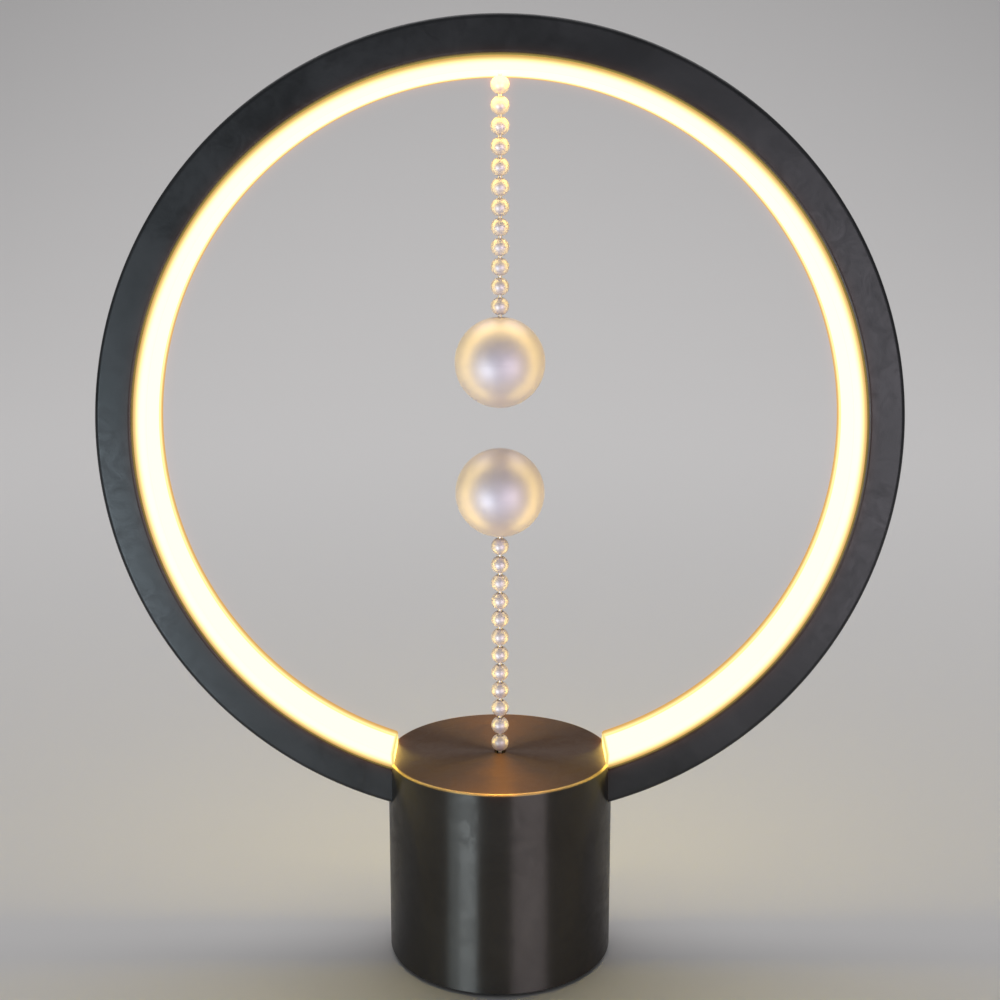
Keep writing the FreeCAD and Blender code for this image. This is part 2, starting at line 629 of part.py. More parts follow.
def make_plunger():
    """Rod that the lower chain draws up, with its flange, return spring and guide bush."""
    flange_low = f"({FLANGE_TOP} - flange_height)"
    cup_low = f"({STEM_HEAD} - {HEAD_RADIUS} - 2 * cup_wall)"
    rod = turned("plunger_rod", "XZ_Plane", [
        ("0", PLUNGER_FOOT),
        ("rod_radius", PLUNGER_FOOT),
        ("rod_radius", flange_low),
        ("flange_radius", flange_low),
        ("flange_radius", FLANGE_TOP),
        ("rod_radius", FLANGE_TOP),
        ("rod_radius", cup_low),
        ("cup_radius", f"{cup_low} + cup_radius - rod_radius"),
        ("cup_radius", CUP_TOP),
        ("0", CUP_TOP),
    ])
    pocket_low = f"({STEM_HEAD} - {HEAD_RADIUS} - head_play)"
    pocket = cylinder("head_pocket", f"{HEAD_RADIUS} + head_play", f"{CUP_TOP} - cup_wall - {pocket_low}",
                      z=pocket_low)
    mouth = cylinder("head_mouth", "bead_hole", "2 * cup_wall", z=f"{CUP_TOP} - cup_wall")
    node("pull_plunger", cut("pull_plunger", rod, pocket, mouth))

    body = doc.addObject("PartDesign::Body", "spring_body")
    wire = body.newObject("Sketcher::SketchObject", "spring_wire_outline")
    wire.AttachmentSupport = (origin_part(body, "XZ_Plane"), [""])
    wire.MapMode = "FlatFace"
    circle = Part.Circle(Vector(number("spring_radius"), 0, 0), Vector(0, 0, 1), number("spring_wire"))
    wire.addGeometry(circle, False)
    held = wire.addConstraint(Sketcher.Constraint("Radius", 0, number("spring_wire")))
    wire.setExpression(f"Constraints[{held}]", formula("spring_wire"))
    held = wire.addConstraint(Sketcher.Constraint("DistanceX", -1, 1, 0, 3, number("spring_radius")))
    wire.setExpression(f"Constraints[{held}]", formula("spring_radius"))
    wire.addConstraint(Sketcher.Constraint("PointOnObject", 0, 3, -1))
    coil = body.newObject("PartDesign::AdditiveHelix", "spring_coil")
    coil.Profile = wire
    coil.ReferenceAxis = (wire, ["V_Axis"])
    coil.Mode = "height-turns-angle"
    bind(coil, Height="spring_length - 2 * spring_wire - 2 * spring_play", Turns="spring_turns")
    body.Tip = coil
    place(body, z=f"{FLANGE_TOP} + spring_wire + spring_play")
    node("return_spring", body)

    node("guide_bush", turned("guide_bush", "XZ_Plane", [
        ("rod_radius + bush_fit", SPRING_TOP),
        ("bush_collar", SPRING_TOP),
        ("bush_collar", CRADLE_STEP),
        ("bush_radius", CRADLE_STEP),
        ("bush_radius", f"{SPRING_TOP} + bush_length"),
        ("rod_radius + bush_fit", f"{SPRING_TOP} + bush_length"),
    ]))


def make_leads():
    """Two wires from the board up into the channel, to the end of the light strip."""
    strip_middle = f"({CHANNEL_FLOOR} - strip_fit - strip_thickness / 2)"
    end_height = f"({RING_CENTER} - sqrt({strip_middle}^2 - strip_end^2))"
    start_x = "(board_half_width - wire_inset)"
    side_height = f"({CRADLE_BOTTOM} - wire_drop)"
    wires = []
    for index, side in enumerate((-1, 1)):
        y = f"{side} * wire_spacing / 2"
        tag = f"wire_{index}"
        rise = cylinder(tag + "_rise", "wire_radius", f"{side_height} - {BOARD_TOP}", x=start_x, y=y,
                        z=BOARD_TOP)
        over = cylinder(tag + "_over", "wire_radius", f"wire_x - {start_x}", x=start_x, y=y, z=side_height,
                        turn=SIDEWAYS)
        climb = cylinder(tag + "_climb", "wire_radius", f"{end_height} - {side_height}", x="wire_x", y=y,
                         z=side_height)
        tail = cylinder(tag + "_tail", "wire_radius", "strip_end - wire_x", x="wire_x", y=y, z=end_height,
                        turn=SIDEWAYS)
        bends = [sphere(f"{tag}_bend_{step}", "wire_radius", x=x, y=y, z=z)
                 for step, (x, z) in enumerate(((start_x, side_height), ("wire_x", side_height),
                                                ("wire_x", end_height)))]
        wires.append(fuse(tag, rise, over, climb, tail, *bends))
    node("strip_leads", group("strip_leads", wires))


def make_bridge():
    """Strap in the channel's top that the upper chain's stem hangs from."""
    half_length = "bridge_length / 2"
    half_width = BRIDGE_HALF
    bottom = f"({BRIDGE_TOP} - bridge_wall)"
    floor = f"({RING_CENTER} + {CHANNEL_FLOOR})"
    blank = block("strap_blank", (f"-{half_length}", half_length), (f"-{half_width}", half_width),
                  (bottom, floor))
    hollow = block("strap_hollow", ("-bridge_length", "bridge_length"),
                   (f"-{half_width} + bridge_wall", f"{half_width} - bridge_wall"), (BRIDGE_TOP, floor))
    hole = cylinder("strap_hole", BRIDGE_HOLE, "2 * bridge_wall", z=bottom)
    seat = cylinder("strap_limit", f"{CHANNEL_FLOOR} - strip_fit", "ring_depth", y="ring_depth / 2",
                    z=RING_CENTER, turn=ACROSS)
    strap = common("strap", blank, seat)
    node("anchor_bridge", cut("anchor_bridge", strap, hollow, hole))


def dumbbell(name, low, high):
    """A chain link: two round heads on a thin shank, upright between two heights."""
    heads = [sphere(f"{name}_head_{index}", HEAD_RADIUS, z=z) for index, z in enumerate((low, high))]
    shank = cylinder(name + "_shank", SHANK_RADIUS, f"({high}) - ({low})", z=low)
    return fuse(name, shank, *heads)


def bead(name, z):
    """A hollow ball with a hole at its top and bottom for the links."""
    skin = sphere(name + "_skin", "bead_radius", z=z)
    hollow = sphere(name + "_hollow", BEAD_INNER, z=z)
    hole = cylinder(name + "_hole", "bead_hole", "2 * bead_radius", z=f"{z} - bead_radius")
    return cut(name, skin, hollow, hole)


def make_pendant(side, first, toward, anchor, count):
    """One chain and its ball. toward is 1 for a chain that stands up and -1 for one that hangs down."""

    def level(index):
        return f"({first} + {toward} * {index} * {PITCH})"

    def link(name, index):
        """The link that follows a bead."""
        ends = (f"{level(index)} + {toward} * {PIVOT}", f"{level(index + 1)} - {toward} * {PIVOT}")
        return dumbbell(f"{side}_{name}", *ends[::toward])

    def row(name, start, stop):
        """Beads that are moved as one, with the links between them."""
        pieces = [bead(f"{side}_bead_{index}", level(index)) for index in range(start, stop)]
        pieces += [link(f"link_{index}", index) for index in range(start, stop - 1)]
        node(f"{side}_{name}", group(f"{side}_{name}", pieces))

    rest = count - 1
    breaks = [1, 1 + rest // 3, 1 + rest // 3 + (rest + 1) // 3, count]
    ends = (anchor, f"{first} - {toward} * {PIVOT}")
    node(f"{side}_stem", dumbbell(f"{side}_stem", *ends[::toward]))
    node(f"{side}_first_bead", bead(f"{side}_bead_0", level(0)))
    node(f"{side}_first_link", link("first_link", 0))
    row("chain_1", breaks[0], breaks[1])
    node(f"{side}_link_a", link("link_a", breaks[1] - 1))
    row("chain_2", breaks[1], breaks[2])
    node(f"{side}_link_b", link("link_b", breaks[2] - 1))
    row("chain_3", breaks[2], breaks[3])

    center = f"({level(count - 1)} + {toward} * (bead_radius + ball_gap + ball_radius))"
    ends = (f"{level(count - 1)} + {toward} * {PIVOT}", f"{center} - {toward} * {BALL_PIVOT}")
    node(f"{side}_ball_link", dumbbell(f"{side}_ball_link", *ends[::toward]))
    make_ball(side, center, toward)
    return center


def make_ball(side, center, toward):
    """Two half shells with a magnet behind the pole that faces the other ball."""
    turn = Rotation() if toward == 1 else Rotation(Vector(1, 0, 0), 180)

    def shift(item):
        """Puts a piece made about the origin, with its magnet up, where the ball is."""
        holder = group(item.Label + "_moved", [item])
        return place(holder, z=center, turn=turn)

    tag = side + "_"
    skin = sphere(tag + "skin", "ball_radius")
    hollow = sphere(tag + "hollow", BALL_INNER)
    wide = "2 * ball_radius"
    seam = "lip_fit / 2"
    half = (f"-({wide})", wide)
    face_side = block(tag + "face_side", half, half, (seam, wide))
    cap_side = block(tag + "cap_side", half, half, (f"-({wide})", "0"))
    mouth = cone(tag + "mouth", "bead_hole + mouth_flare", "bead_hole",
                 f"ball_radius - sqrt({BALL_INNER}^2 - bead_hole^2)", z="-ball_radius")
    shell = cut(tag + "shell", skin, hollow)
    cap_shell = cut(tag + "cap_shell", skin, hollow, mouth)
    cap = common(tag + "cap_half", cap_shell, cap_side)
    face = common(tag + "face_half", shell, face_side)
    lip_outer = f"({BALL_INNER} - lip_fit - lip_height^2 / {BALL_INNER})"
    lip = turned(tag + "lip", "XZ_Plane", [
        (f"{lip_outer} - lip_wall", "-lip_height"),
        (lip_outer, "-lip_height"),
        (lip_outer, seam),
        (f"{BALL_INNER} + lip_wall", seam),
        (f"{BALL_INNER} + lip_wall", "lip_height"),
        (f"{lip_outer} - lip_wall", "lip_height"),
    ])
    node(tag + "ball_cap", shift(cap))
    node(tag + "ball_face", shift(fuse(tag + "face_lip", face, lip)))

    magnet_low = f"({MAGNET_TOP} - magnet_height)"
    node(tag + "magnet", shift(cylinder(tag + "magnet_disc", "magnet_radius", "magnet_height", z=magnet_low)))
    seat_top = "(lip_height + seat_plate)"
    seat = turned(tag + "seat", "XZ_Plane", [
        ("0", "lip_height"),
        (f"sqrt({BALL_INNER}^2 - {seat_top}^2) - magnet_fit", "lip_height"),
        (f"sqrt({BALL_INNER}^2 - {seat_top}^2) - magnet_fit", seat_top),
        ("magnet_radius + magnet_fit + seat_wall", seat_top),
        ("magnet_radius + magnet_fit + seat_wall", f"{magnet_low} + seat_grip"),
        ("magnet_radius + magnet_fit", f"{magnet_low} + seat_grip"),
        ("magnet_radius + magnet_fit", magnet_low),
        ("0", magnet_low),
    ])
    node(tag + "magnet_seat", shift(seat))


def bead_count():
    """As many beads on each chain as leave the wanted gap between the two balls."""
    inside = number(f"{RING_CENTER} + {DIFFUSER_INNER} - {HOUSING_TOP} - smallest_air_gap")
    clearance = max(number("top_clearance"), number("foot_clearance"))
    ball = number("2 * bead_radius + ball_gap + 2 * ball_radius")
    return 1 + math.floor((inside / 2 - clearance - ball) / number(PITCH))


make_ring_frame()
make_ring_diffuser()
make_light_strip()
make_ring_mounting()
make_base_housing()
make_bottom()
make_socket()
make_board()
make_switch()
make_plunger()
make_leads()
make_bridge()
chain_beads = bead_count()
hung_head = f"({BRIDGE_TOP} + sqrt({HEAD_RADIUS}^2 - {BRIDGE_HOLE}^2) + head_play)"
upper_first = f"({RING_CENTER} + {DIFFUSER_INNER} - top_clearance - bead_radius)"
lower_first = f"({HOUSING_TOP} + foot_clearance + bead_radius)"
upper_center = make_pendant("upper", upper_first, -1, hung_head, chain_beads)
lower_center = make_pendant("lower", lower_first, 1, STEM_HEAD, chain_beads)

doc.recompute()
for item in doc.Objects:
    if "Invalid" in item.State or "Error" in item.State:
        raise RuntimeError(f"{item.Label} did not compute: {item.State}")
for name, item in NODES.items():
    if item.Shape.isNull() or not item.Shape.isValid():
        raise RuntimeError(f"{name} has no valid shape")

os.makedirs("parts", exist_ok=True)
for name, item in NODES.items():
    item.Shape.exportStep(f"parts/{name}.step")
print(f"{len(NODES)} sub-parts, {chain_beads} beads on each chain")
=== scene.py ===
# %% [markdown]
# # A magnetic balance lamp
#
# The lamp is an upright ring of light on a short round foot. A bead chain hangs from the top of the ring
# and another stands up from the foot. Each ends in a pearl ball with a magnet inside, and the pull
# between the two balls keeps the lower chain standing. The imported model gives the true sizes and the
# moving bodies. This lesson dresses it: it turns the smooth visible shells, gives each piece its finish,
# and sets the light and the camera.

import json
import math

import bmesh
import bpy
from mathutils import Matrix, Vector


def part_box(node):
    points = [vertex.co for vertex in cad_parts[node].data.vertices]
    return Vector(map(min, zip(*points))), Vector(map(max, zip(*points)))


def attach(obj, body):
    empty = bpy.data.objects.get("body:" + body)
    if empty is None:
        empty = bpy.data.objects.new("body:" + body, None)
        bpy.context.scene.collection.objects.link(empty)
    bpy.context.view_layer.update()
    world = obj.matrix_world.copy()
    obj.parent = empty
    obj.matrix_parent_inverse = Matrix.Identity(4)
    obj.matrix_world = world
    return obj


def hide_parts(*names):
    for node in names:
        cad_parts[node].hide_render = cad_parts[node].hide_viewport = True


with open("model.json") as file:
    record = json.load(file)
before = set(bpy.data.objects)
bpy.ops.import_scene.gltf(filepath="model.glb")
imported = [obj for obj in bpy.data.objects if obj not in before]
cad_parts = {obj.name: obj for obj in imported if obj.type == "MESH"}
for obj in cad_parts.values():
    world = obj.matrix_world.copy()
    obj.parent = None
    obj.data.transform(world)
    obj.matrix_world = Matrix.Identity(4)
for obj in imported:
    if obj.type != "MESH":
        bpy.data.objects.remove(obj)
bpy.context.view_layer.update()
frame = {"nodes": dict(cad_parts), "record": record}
scene = bpy.context.scene
MM = 0.001

# %% [markdown]
# ## Sizes read from the model
#
# A piece that is dressed over a solid must sit where the solid sits, so its height and depth come from the
# solid's own box. The ring's radii, the walls, bevels and gaps are typed in. The ring's centre is one
# radius under its top, and the ring's axis runs along Y.

# %% Read the main sizes
RING_RADIUS = 100 * MM
CHANNEL_DEPTH = 9.5 * MM
COVER_RISE = 3.4 * MM
ring_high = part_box("ring_frame")[1]
housing_low, housing_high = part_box("base_housing")
RING_CENTER = Vector((0, 0, ring_high.z - RING_RADIUS))
HALF_DEPTH = ring_high.y
RING_INNER = RING_RADIUS - CHANNEL_DEPTH
COVER_INNER = RING_INNER - COVER_RISE
HOUSING_RADIUS = housing_high.y
HOUSING_TOP = housing_high.z
print("ring centre", RING_CENTER, "half depth", HALF_DEPTH, "housing", HOUSING_RADIUS, HOUSING_TOP)

# %% [markdown]
# ## The camera
#
# A 50 mm lens stands 348 mm in front of the ring, a little above its centre, and looks down by about
# eleven degrees. From there the round top of the foot shows as an ellipse, and the inside of the ring
# shows below. A longer lens from farther away would flatten both.

# %% Place the camera
CAMERA_AWAY = 348.2 * MM
CAMERA_RISE = 48.9 * MM
LOOK_DOWN = 10.79
camera_data = bpy.data.cameras.new("camera")
camera_data.lens = 50
camera_data.sensor_width = 36
camera_data.clip_start = 10 * MM
camera = bpy.data.objects.new("camera", camera_data)
camera.location = (0, -CAMERA_AWAY, RING_CENTER.z + CAMERA_RISE)
camera.rotation_euler = (math.radians(90 - LOOK_DOWN), 0, 0)
scene.collection.objects.link(camera)
scene.camera = camera
print("camera at", camera.location)

# %% [markdown]
# ## Turning a shape
#
# Almost every part of this lamp is turned: its outline is spun about an axis. A Screw modifier could do
# it too, but bmesh's spin gives a plain mesh that can be cut and bevelled. The outline starts as one flat
# face, whose corners a vertex bevel rounds. Only its edges are kept for the spin, so the result is a
# closed skin with no faces inside. A part turn leaves two open ends, which are filled. An outline that
# starts and ends on the axis needs no face at all: a rail of edges is enough.

# %% Helpers for turned shapes
WELD = 1e-7
UP = Vector((0, 0, 1))
RING_AXIS = Vector((0, 1, 0))


def flat_outline(points):
    """A flat face from corner points; returns the shape and its corners."""
    shape = bmesh.new()
    corners = [shape.verts.new(point) for point in points]
    shape.faces.new(corners)
    return shape, corners


def open_rail(points):
    """A row of edges through the points, without a face."""
    shape = bmesh.new()
    corners = [shape.verts.new(point) for point in points]
    for first, second in zip(corners, corners[1:]):
        shape.edges.new((first, second))
    return shape


def round_corners(shape, corners, radius, segments=3):
    bmesh.ops.bevel(shape, geom=corners, offset=radius, segments=segments, profile=0.5, affect="VERTICES",
                    material=-1)


def spin_edges(shape, center, axis, steps, angle=2 * math.pi):
    """Spins the edges into a closed skin whose faces point outwards."""
    bmesh.ops.spin(shape, geom=shape.verts[:] + shape.edges[:], cent=center, axis=axis, angle=angle,
                   steps=steps, use_merge=angle >= 2 * math.pi)
    bmesh.ops.remove_doubles(shape, verts=shape.verts[:], dist=WELD)
    open_edges = [edge for edge in shape.edges if edge.is_boundary]
    if open_edges:
        bmesh.ops.holes_fill(shape, edges=open_edges)
    bmesh.ops.recalc_face_normals(shape, faces=shape.faces[:])


def spin_outline(shape, center, axis, steps, half_turn=math.pi):
    """Spins an outline's edges evenly to both sides of where it stands."""
    bmesh.ops.delete(shape, geom=shape.faces[:], context="FACES_ONLY")
    start = Matrix.Rotation(-half_turn, 4, axis)
    bmesh.ops.rotate(shape, verts=shape.verts[:], cent=center, matrix=start)
    spin_edges(shape, center, axis, steps, 2 * half_turn)


# %% [markdown]
# A turned part is smooth all round but has crisp lines where two surfaces meet. Each edge is marked by
# the angle of its two faces, which keeps both without more faces.

# %% Helpers for shading and meshes
CRISP_ANGLE = 32


def set_smooth(shape):
    """Smooth faces that keep a crisp line where they meet at a steep angle."""
    for face in shape.faces:
        face.smooth = True
    for edge in shape.edges:
        if len(edge.link_faces) == 2:
            edge.smooth = edge.calc_face_angle() < math.radians(CRISP_ANGLE)


def shape_mesh(name, shape):
    mesh = bpy.data.meshes.new(name)
    shape.to_mesh(mesh)
    shape.free()
    return mesh


# %% [markdown]
# ## Cutting openings
#
# A passage that crosses a turned wall at an angle is easiest to cut with a Boolean modifier and a closed
# shape that is just as large as the opening. The result is kept as a plain mesh, its doubled points are
# merged and its edges are marked again, so no live modifier is left that could fail later.

# %% Helpers for openings
SAME_PLACE = 1e-6


def carve(piece, cutter_shape):
    """Cuts one closed shape out of a piece and keeps the plain result."""
    cutter = bpy.data.objects.new("cutter", shape_mesh("cutter", cutter_shape))
    scene.collection.objects.link(cutter)
    boolean = piece.modifiers.new("cut", "BOOLEAN")
    boolean.operation = "DIFFERENCE"
    boolean.object = cutter
    depsgraph = bpy.context.evaluated_depsgraph_get()
    result = bpy.data.meshes.new_from_object(piece.evaluated_get(depsgraph))
    whole = piece.data
    piece.modifiers.clear()
    piece.data = result
    result.name = piece.name
    bpy.data.meshes.remove(whole)
    cutter_mesh = cutter.data
    bpy.data.objects.remove(cutter)
    bpy.data.meshes.remove(cutter_mesh)


def heal(piece):
    """Merges what the cuts left doubled and marks the smooth and the crisp edges."""
    shape = bmesh.new()
    shape.from_mesh(piece.data)
    bmesh.ops.remove_doubles(shape, verts=shape.verts[:], dist=SAME_PLACE)
    set_smooth(shape)
    shape.to_mesh(piece.data)
    shape.free()


# %% [markdown]
# A finished piece then takes the place of its solids: it rides on the body that carries them, so it moves
# with the chain or stays with the foot, and the solids that it stands for are hidden.

# %% The helper that finishes a piece
def finish_piece(name, shape, body, materials, replaced, weighted=True, cutters=()):
    """Makes the object, lets it ride on its body and hides the solids that it stands for."""
    set_smooth(shape)
    mesh = shape_mesh(name, shape)
    for material in materials:
        mesh.materials.append(material)
    piece = bpy.data.objects.new(name, mesh)
    scene.collection.objects.link(piece)
    for cutter in cutters:
        carve(piece, cutter)
    if cutters:
        heal(piece)
    if weighted:
        modifier = piece.modifiers.new("weighted", "WEIGHTED_NORMAL")
        modifier.keep_sharp = True
    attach(piece, body)
    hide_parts(*replaced)
    print(name, len(piece.data.polygons), "faces")
    return piece


# %% [markdown]
# ## Shader helpers
#
# Each material is a small node tree. These helpers add a node, set its sockets and make a group, so that
# each material below reads as a short list of what feeds what.

# %% Helpers for materials and groups
def add_node(tree, kind, inputs=None, **settings):
    """A node with its settings made and its inputs either linked or given a value."""
    node = tree.nodes.new(kind)
    for name, value in settings.items():
        setattr(node, name, value)
    for name, value in (inputs or {}).items():
        if isinstance(value, bpy.types.NodeSocket):
            tree.links.new(value, node.inputs[name])
        else:
            node.inputs[name].default_value = value
    return node


def new_material(name, color, **values):
    """A material with one Principled shader, whose plain values are set on its own sockets."""
    material = bpy.data.materials.new(name)
    material.use_nodes = True
    material.diffuse_color = (*color, 1)
    shader = material.node_tree.nodes["Principled BSDF"]
    shader.inputs["Base Color"].default_value = (*color, 1)
    for socket, value in values.items():
        shader.inputs[socket.replace("_", " ")].default_value = value
    return material, material.node_tree, shader


def connect(tree, shader, **sockets):
    """Feeds what varies over the surface to the shader's inputs."""
    for name, socket in sockets.items():
        tree.links.new(socket, shader.inputs[name.replace("_", " ")])


def new_group(name, takes, gives):
    """A shader group with float inputs and outputs; returns it with its input and output nodes."""
    group = bpy.data.node_groups.new(name, "ShaderNodeTree")
    for label, value in takes.items():
        socket = group.interface.new_socket(label, in_out="INPUT", socket_type="NodeSocketFloat")
        socket.default_value = value
    for label in gives:
        group.interface.new_socket(label, in_out="OUTPUT", socket_type="NodeSocketFloat")
    return group, group.nodes.new("NodeGroupInput"), group.nodes.new("NodeGroupOutput")


# %% [markdown]
# Patterns and masks start from Object coordinates. They're true sizes in the piece's own space, so a
# pattern neither slides nor stretches when the piece moves, and no UV map is needed.

# %% Helpers for patterns and masks
def object_place(tree):
    return add_node(tree, "ShaderNodeTexCoord").outputs["Object"]


def place_axes(tree):
    """X, Y and Z of a point on the piece."""
    split = add_node(tree, "ShaderNodeSeparateXYZ", {"Vector": object_place(tree)})
    return split.outputs["X"], split.outputs["Y"], split.outputs["Z"]


def axis_distance(tree, **sides):
    """Distance from an axis, from the two coordinates across it."""
    flat = add_node(tree, "ShaderNodeCombineXYZ", sides)
    length = add_node(tree, "ShaderNodeVectorMath", {0: flat.outputs["Vector"]}, operation="LENGTH")
    return length.outputs["Value"]


def math_node(tree, operation, first, second=0.0):
    return add_node(tree, "ShaderNodeMath", {0: first, 1: second}, operation=operation).outputs[0]


def fade(tree, value, start, stop):
    """A soft step from 0 at one place to 1 at another."""
    step = add_node(tree, "ShaderNodeMapRange", {"Value": value, "From Min": start, "From Max": stop},
                    interpolation_type="SMOOTHSTEP")
    return step.outputs[0]


def spread(tree, value, low, high, start=0.0, stop=1.0):
    """Turns a value between start and stop into one between low and high."""
    sides = {"Value": value, "From Min": start, "From Max": stop, "To Min": low, "To Max": high}
    return add_node(tree, "ShaderNodeMapRange", sides).outputs[0]


def noise(tree, place, scale, **settings):
    node = add_node(tree, "ShaderNodeTexNoise", {"Vector": place, "Scale": scale, **settings})
    return node.outputs["Fac"]


def ramp(tree, factor, stops):
    """A colour ramp from a list of (place, colour)."""
    node = add_node(tree, "ShaderNodeValToRGB", {"Fac": factor})
    while len(node.color_ramp.elements) < len(stops):
        node.color_ramp.elements.new(0.5)
    for element, (place, color) in zip(node.color_ramp.elements, stops):
        element.position = place
        element.color = (*color, 1)
    return node.outputs["Color"]


def darker(color, share):
    return tuple(share * part for part in color)


def blend(tree, mask, first, second):
    """One colour where the mask is 0 and another where it is 1; each is a socket or three numbers."""
    sides = [(*color, 1) if isinstance(color, tuple) else color for color in (first, second)]
    mix = add_node(tree, "ShaderNodeMix", {"Factor": mask, 6: sides[0], 7: sides[1]}, data_type="RGBA")
    return mix.outputs[2]


def relief(tree, height, strength, depth):
    """The bumped normal of a height that changes over the surface."""
    bump = add_node(tree, "ShaderNodeBump", {"Height": height, "Strength": strength, "Distance": depth})
    return bump.outputs["Normal"]


# %% [markdown]
# ## Handled satin
#
# The dark parts are satin moulded plastic that has been handled: soft cloudy patches, smudges where the
# gloss differs, and a very fine grain from the mould. A painted picture could show them, but noise has no
# seam and fits every piece. One shader group makes all three, and the ring, the foot and the plastics
# inside use it with their own strengths. It gives out a mask for the clouds, one for the smudges and a
# height for the grain.

# %% The handled satin group
FINE_SCALE = 190.0
SMUDGE_START, SMUDGE_FULL = 0.18, 0.36
satin, satin_in, satin_out = new_group("handled_satin", {"Cloud Size": 30.0, "Grain Size": 2500.0},
                                       ("Clouds", "Smudges", "Grain"))
satin_place = object_place(satin)
satin_clouds = noise(satin, satin_place, satin_in.outputs["Cloud Size"], Detail=5.0, Roughness=0.62,
                     Distortion=0.6)
satin_fine = noise(satin, satin_place, FINE_SCALE, Detail=4.0, Roughness=0.7, Distortion=1.2)
satin_both = math_node(satin, "MULTIPLY", satin_clouds, satin_fine)
connect(satin, satin_out, Clouds=satin_clouds,
        Smudges=spread(satin, satin_both, 0, 1, SMUDGE_START, SMUDGE_FULL),
        Grain=noise(satin, satin_place, satin_in.outputs["Grain Size"], Detail=1.0))
print("group", satin.name)

# %% [markdown]
# The foot is turned, so its gloss is stretched along its height. Its flat top is less stretched, and a shade
# browner: the ring's warm light is painted on it. Its rounded edge has a painted bright reflection of the
# ring. Both belong to one turned piece, so masks of height and of distance from the axis pick these places,
# not a second material.

# %% The mask of the foot's top
RIM_BEVEL = 0.75 * MM
RIM_REFLECTION_FULL = 0.5 * MM
TOP_FADE_START, TOP_FADE_FULL = 0.6 * MM, 0.35 * MM


def paint_ring_light_on_top(tree, color, painted_warm_light, painted_rim_reflection):
    """Paints warm ring light on the foot's flat top and a ring reflection on its rounded edge; gives the
    top's mask.
    """
    x, y, z = place_axes(tree)
    rim_reflection_mask = fade(tree, axis_distance(tree, X=x, Y=y), HOUSING_RADIUS - RIM_BEVEL,
                   HOUSING_RADIUS - RIM_REFLECTION_FULL)
    upward = fade(tree, z, HOUSING_TOP - TOP_FADE_START, HOUSING_TOP - TOP_FADE_FULL)
    # Painted light: the ring's warm light browns the flat top, and its reflection brightens the rounded
    # edge.
    warm_painted_top = blend(tree, upward, color, painted_warm_light)
    return blend(tree, math_node(tree, "MULTIPLY", rim_reflection_mask, upward), warm_painted_top, painted_rim_reflection), upward


# %% The two dark satin materials
UPRIGHT = 0.25
TOP_SOFTER = 0.06


def dark_satin(name, dark, light, rough, cloud_size, metallic, specular=0.3, stretch=0.0, top=None):
    """Satin between two colours and two roughnesses; top has the foot's painted top light and rim
    reflection.
    """
    material, tree, shader = new_material(name, dark, Roughness=rough[0], Metallic=metallic,
                                          Specular_IOR_Level=specular, Anisotropic=stretch,
                                          Anisotropic_Rotation=UPRIGHT)
    if stretch:
        around = add_node(tree, "ShaderNodeTangent", direction_type="RADIAL", axis="Z")
        connect(tree, shader, Tangent=around.outputs["Tangent"])
    group = add_node(tree, "ShaderNodeGroup", {"Cloud Size": cloud_size}, node_tree=satin)
    color = ramp(tree, group.outputs["Clouds"], [(0.3, dark), (0.7, light)])
    if top:
        color, upward = paint_ring_light_on_top(tree, color, *top)
        less = math_node(tree, "MULTIPLY", upward, TOP_SOFTER)
        connect(tree, shader, Anisotropic=math_node(tree, "SUBTRACT", stretch, less))
    connect(tree, shader, Base_Color=color, Roughness=spread(tree, group.outputs["Smudges"], *rough),
            Normal=relief(tree, group.outputs["Grain"], strength=0.12, depth=0.02 * MM))
    return material


frame_satin = dark_satin("ring_frame_satin", dark=(0.022, 0.023, 0.024), light=(0.038, 0.038, 0.04),
                         rough=(0.32, 0.47), cloud_size=34.0, metallic=0.6)
# The foot's top and rim colours are painted light from the ring: a warm glow and a reflection.
housing_satin = dark_satin("housing_satin", dark=(0.046, 0.042, 0.039), light=(0.064, 0.059, 0.055),
                           rough=(0.34, 0.46), cloud_size=40.0, metallic=0.8, specular=0.4, stretch=1.0,
                           top=((0.066, 0.043, 0.03), (0.3, 0.22, 0.1)))
print("satin:", frame_satin.name, housing_satin.name)

# %% [markdown]
# ## The ring's channel
#
# The dark channel is one ring with a U section, open towards its centre. A torus would be quicker, but it
# is round in section, so the U is drawn and spun. Its outer edges and the two edges beside the light have
# a bevel of 1.3 mm that catches a thin line of light. The outline stands at the top of the ring and is
# spun both ways, down to where the ends hide inside the foot.

# %% Turn the channel
CHANNEL_WALL = 1.8 * MM
CHANNEL_FLOOR = RING_RADIUS - CHANNEL_WALL
WALL_INSIDE = HALF_DEPTH - CHANNEL_WALL
FRAME_BEVEL = 1.3 * MM
RING_STEPS = 288
CHANNEL_END = 15.4 * MM
CHANNEL_MIDDLE = 95 * MM


def ring_points(pairs):
    """Outline points at the ring's top from pairs of radius and distance along the axis."""
    return [Vector((0, across, RING_CENTER.z + radius)) for radius, across in pairs]


channel, corners = flat_outline(ring_points([
    (RING_RADIUS, HALF_DEPTH), (RING_INNER, HALF_DEPTH),
    (RING_INNER, WALL_INSIDE), (CHANNEL_FLOOR, WALL_INSIDE),
    (CHANNEL_FLOOR, -WALL_INSIDE), (RING_INNER, -WALL_INSIDE),
    (RING_INNER, -HALF_DEPTH), (RING_RADIUS, -HALF_DEPTH),
]))
round_corners(channel, [corners[index] for index in (0, 1, 6, 7)], FRAME_BEVEL, segments=4)
channel_half_turn = math.pi - math.asin(CHANNEL_END / CHANNEL_MIDDLE)
spin_outline(channel, RING_CENTER, RING_AXIS, RING_STEPS, channel_half_turn)
ring_channel = finish_piece("ring_channel", channel, "base", [frame_satin], ["ring_frame"])

# %% [markdown]
# ## The light cover
#
# The glowing band is a frosted cover pressed into the channel by a tongue on each side. It's a C: its two
# ends are cut upright at the rim of the foot. A spin alone would cut them square to the ring, so it runs
# a little too far and each end is then sliced upright with bisect_plane.

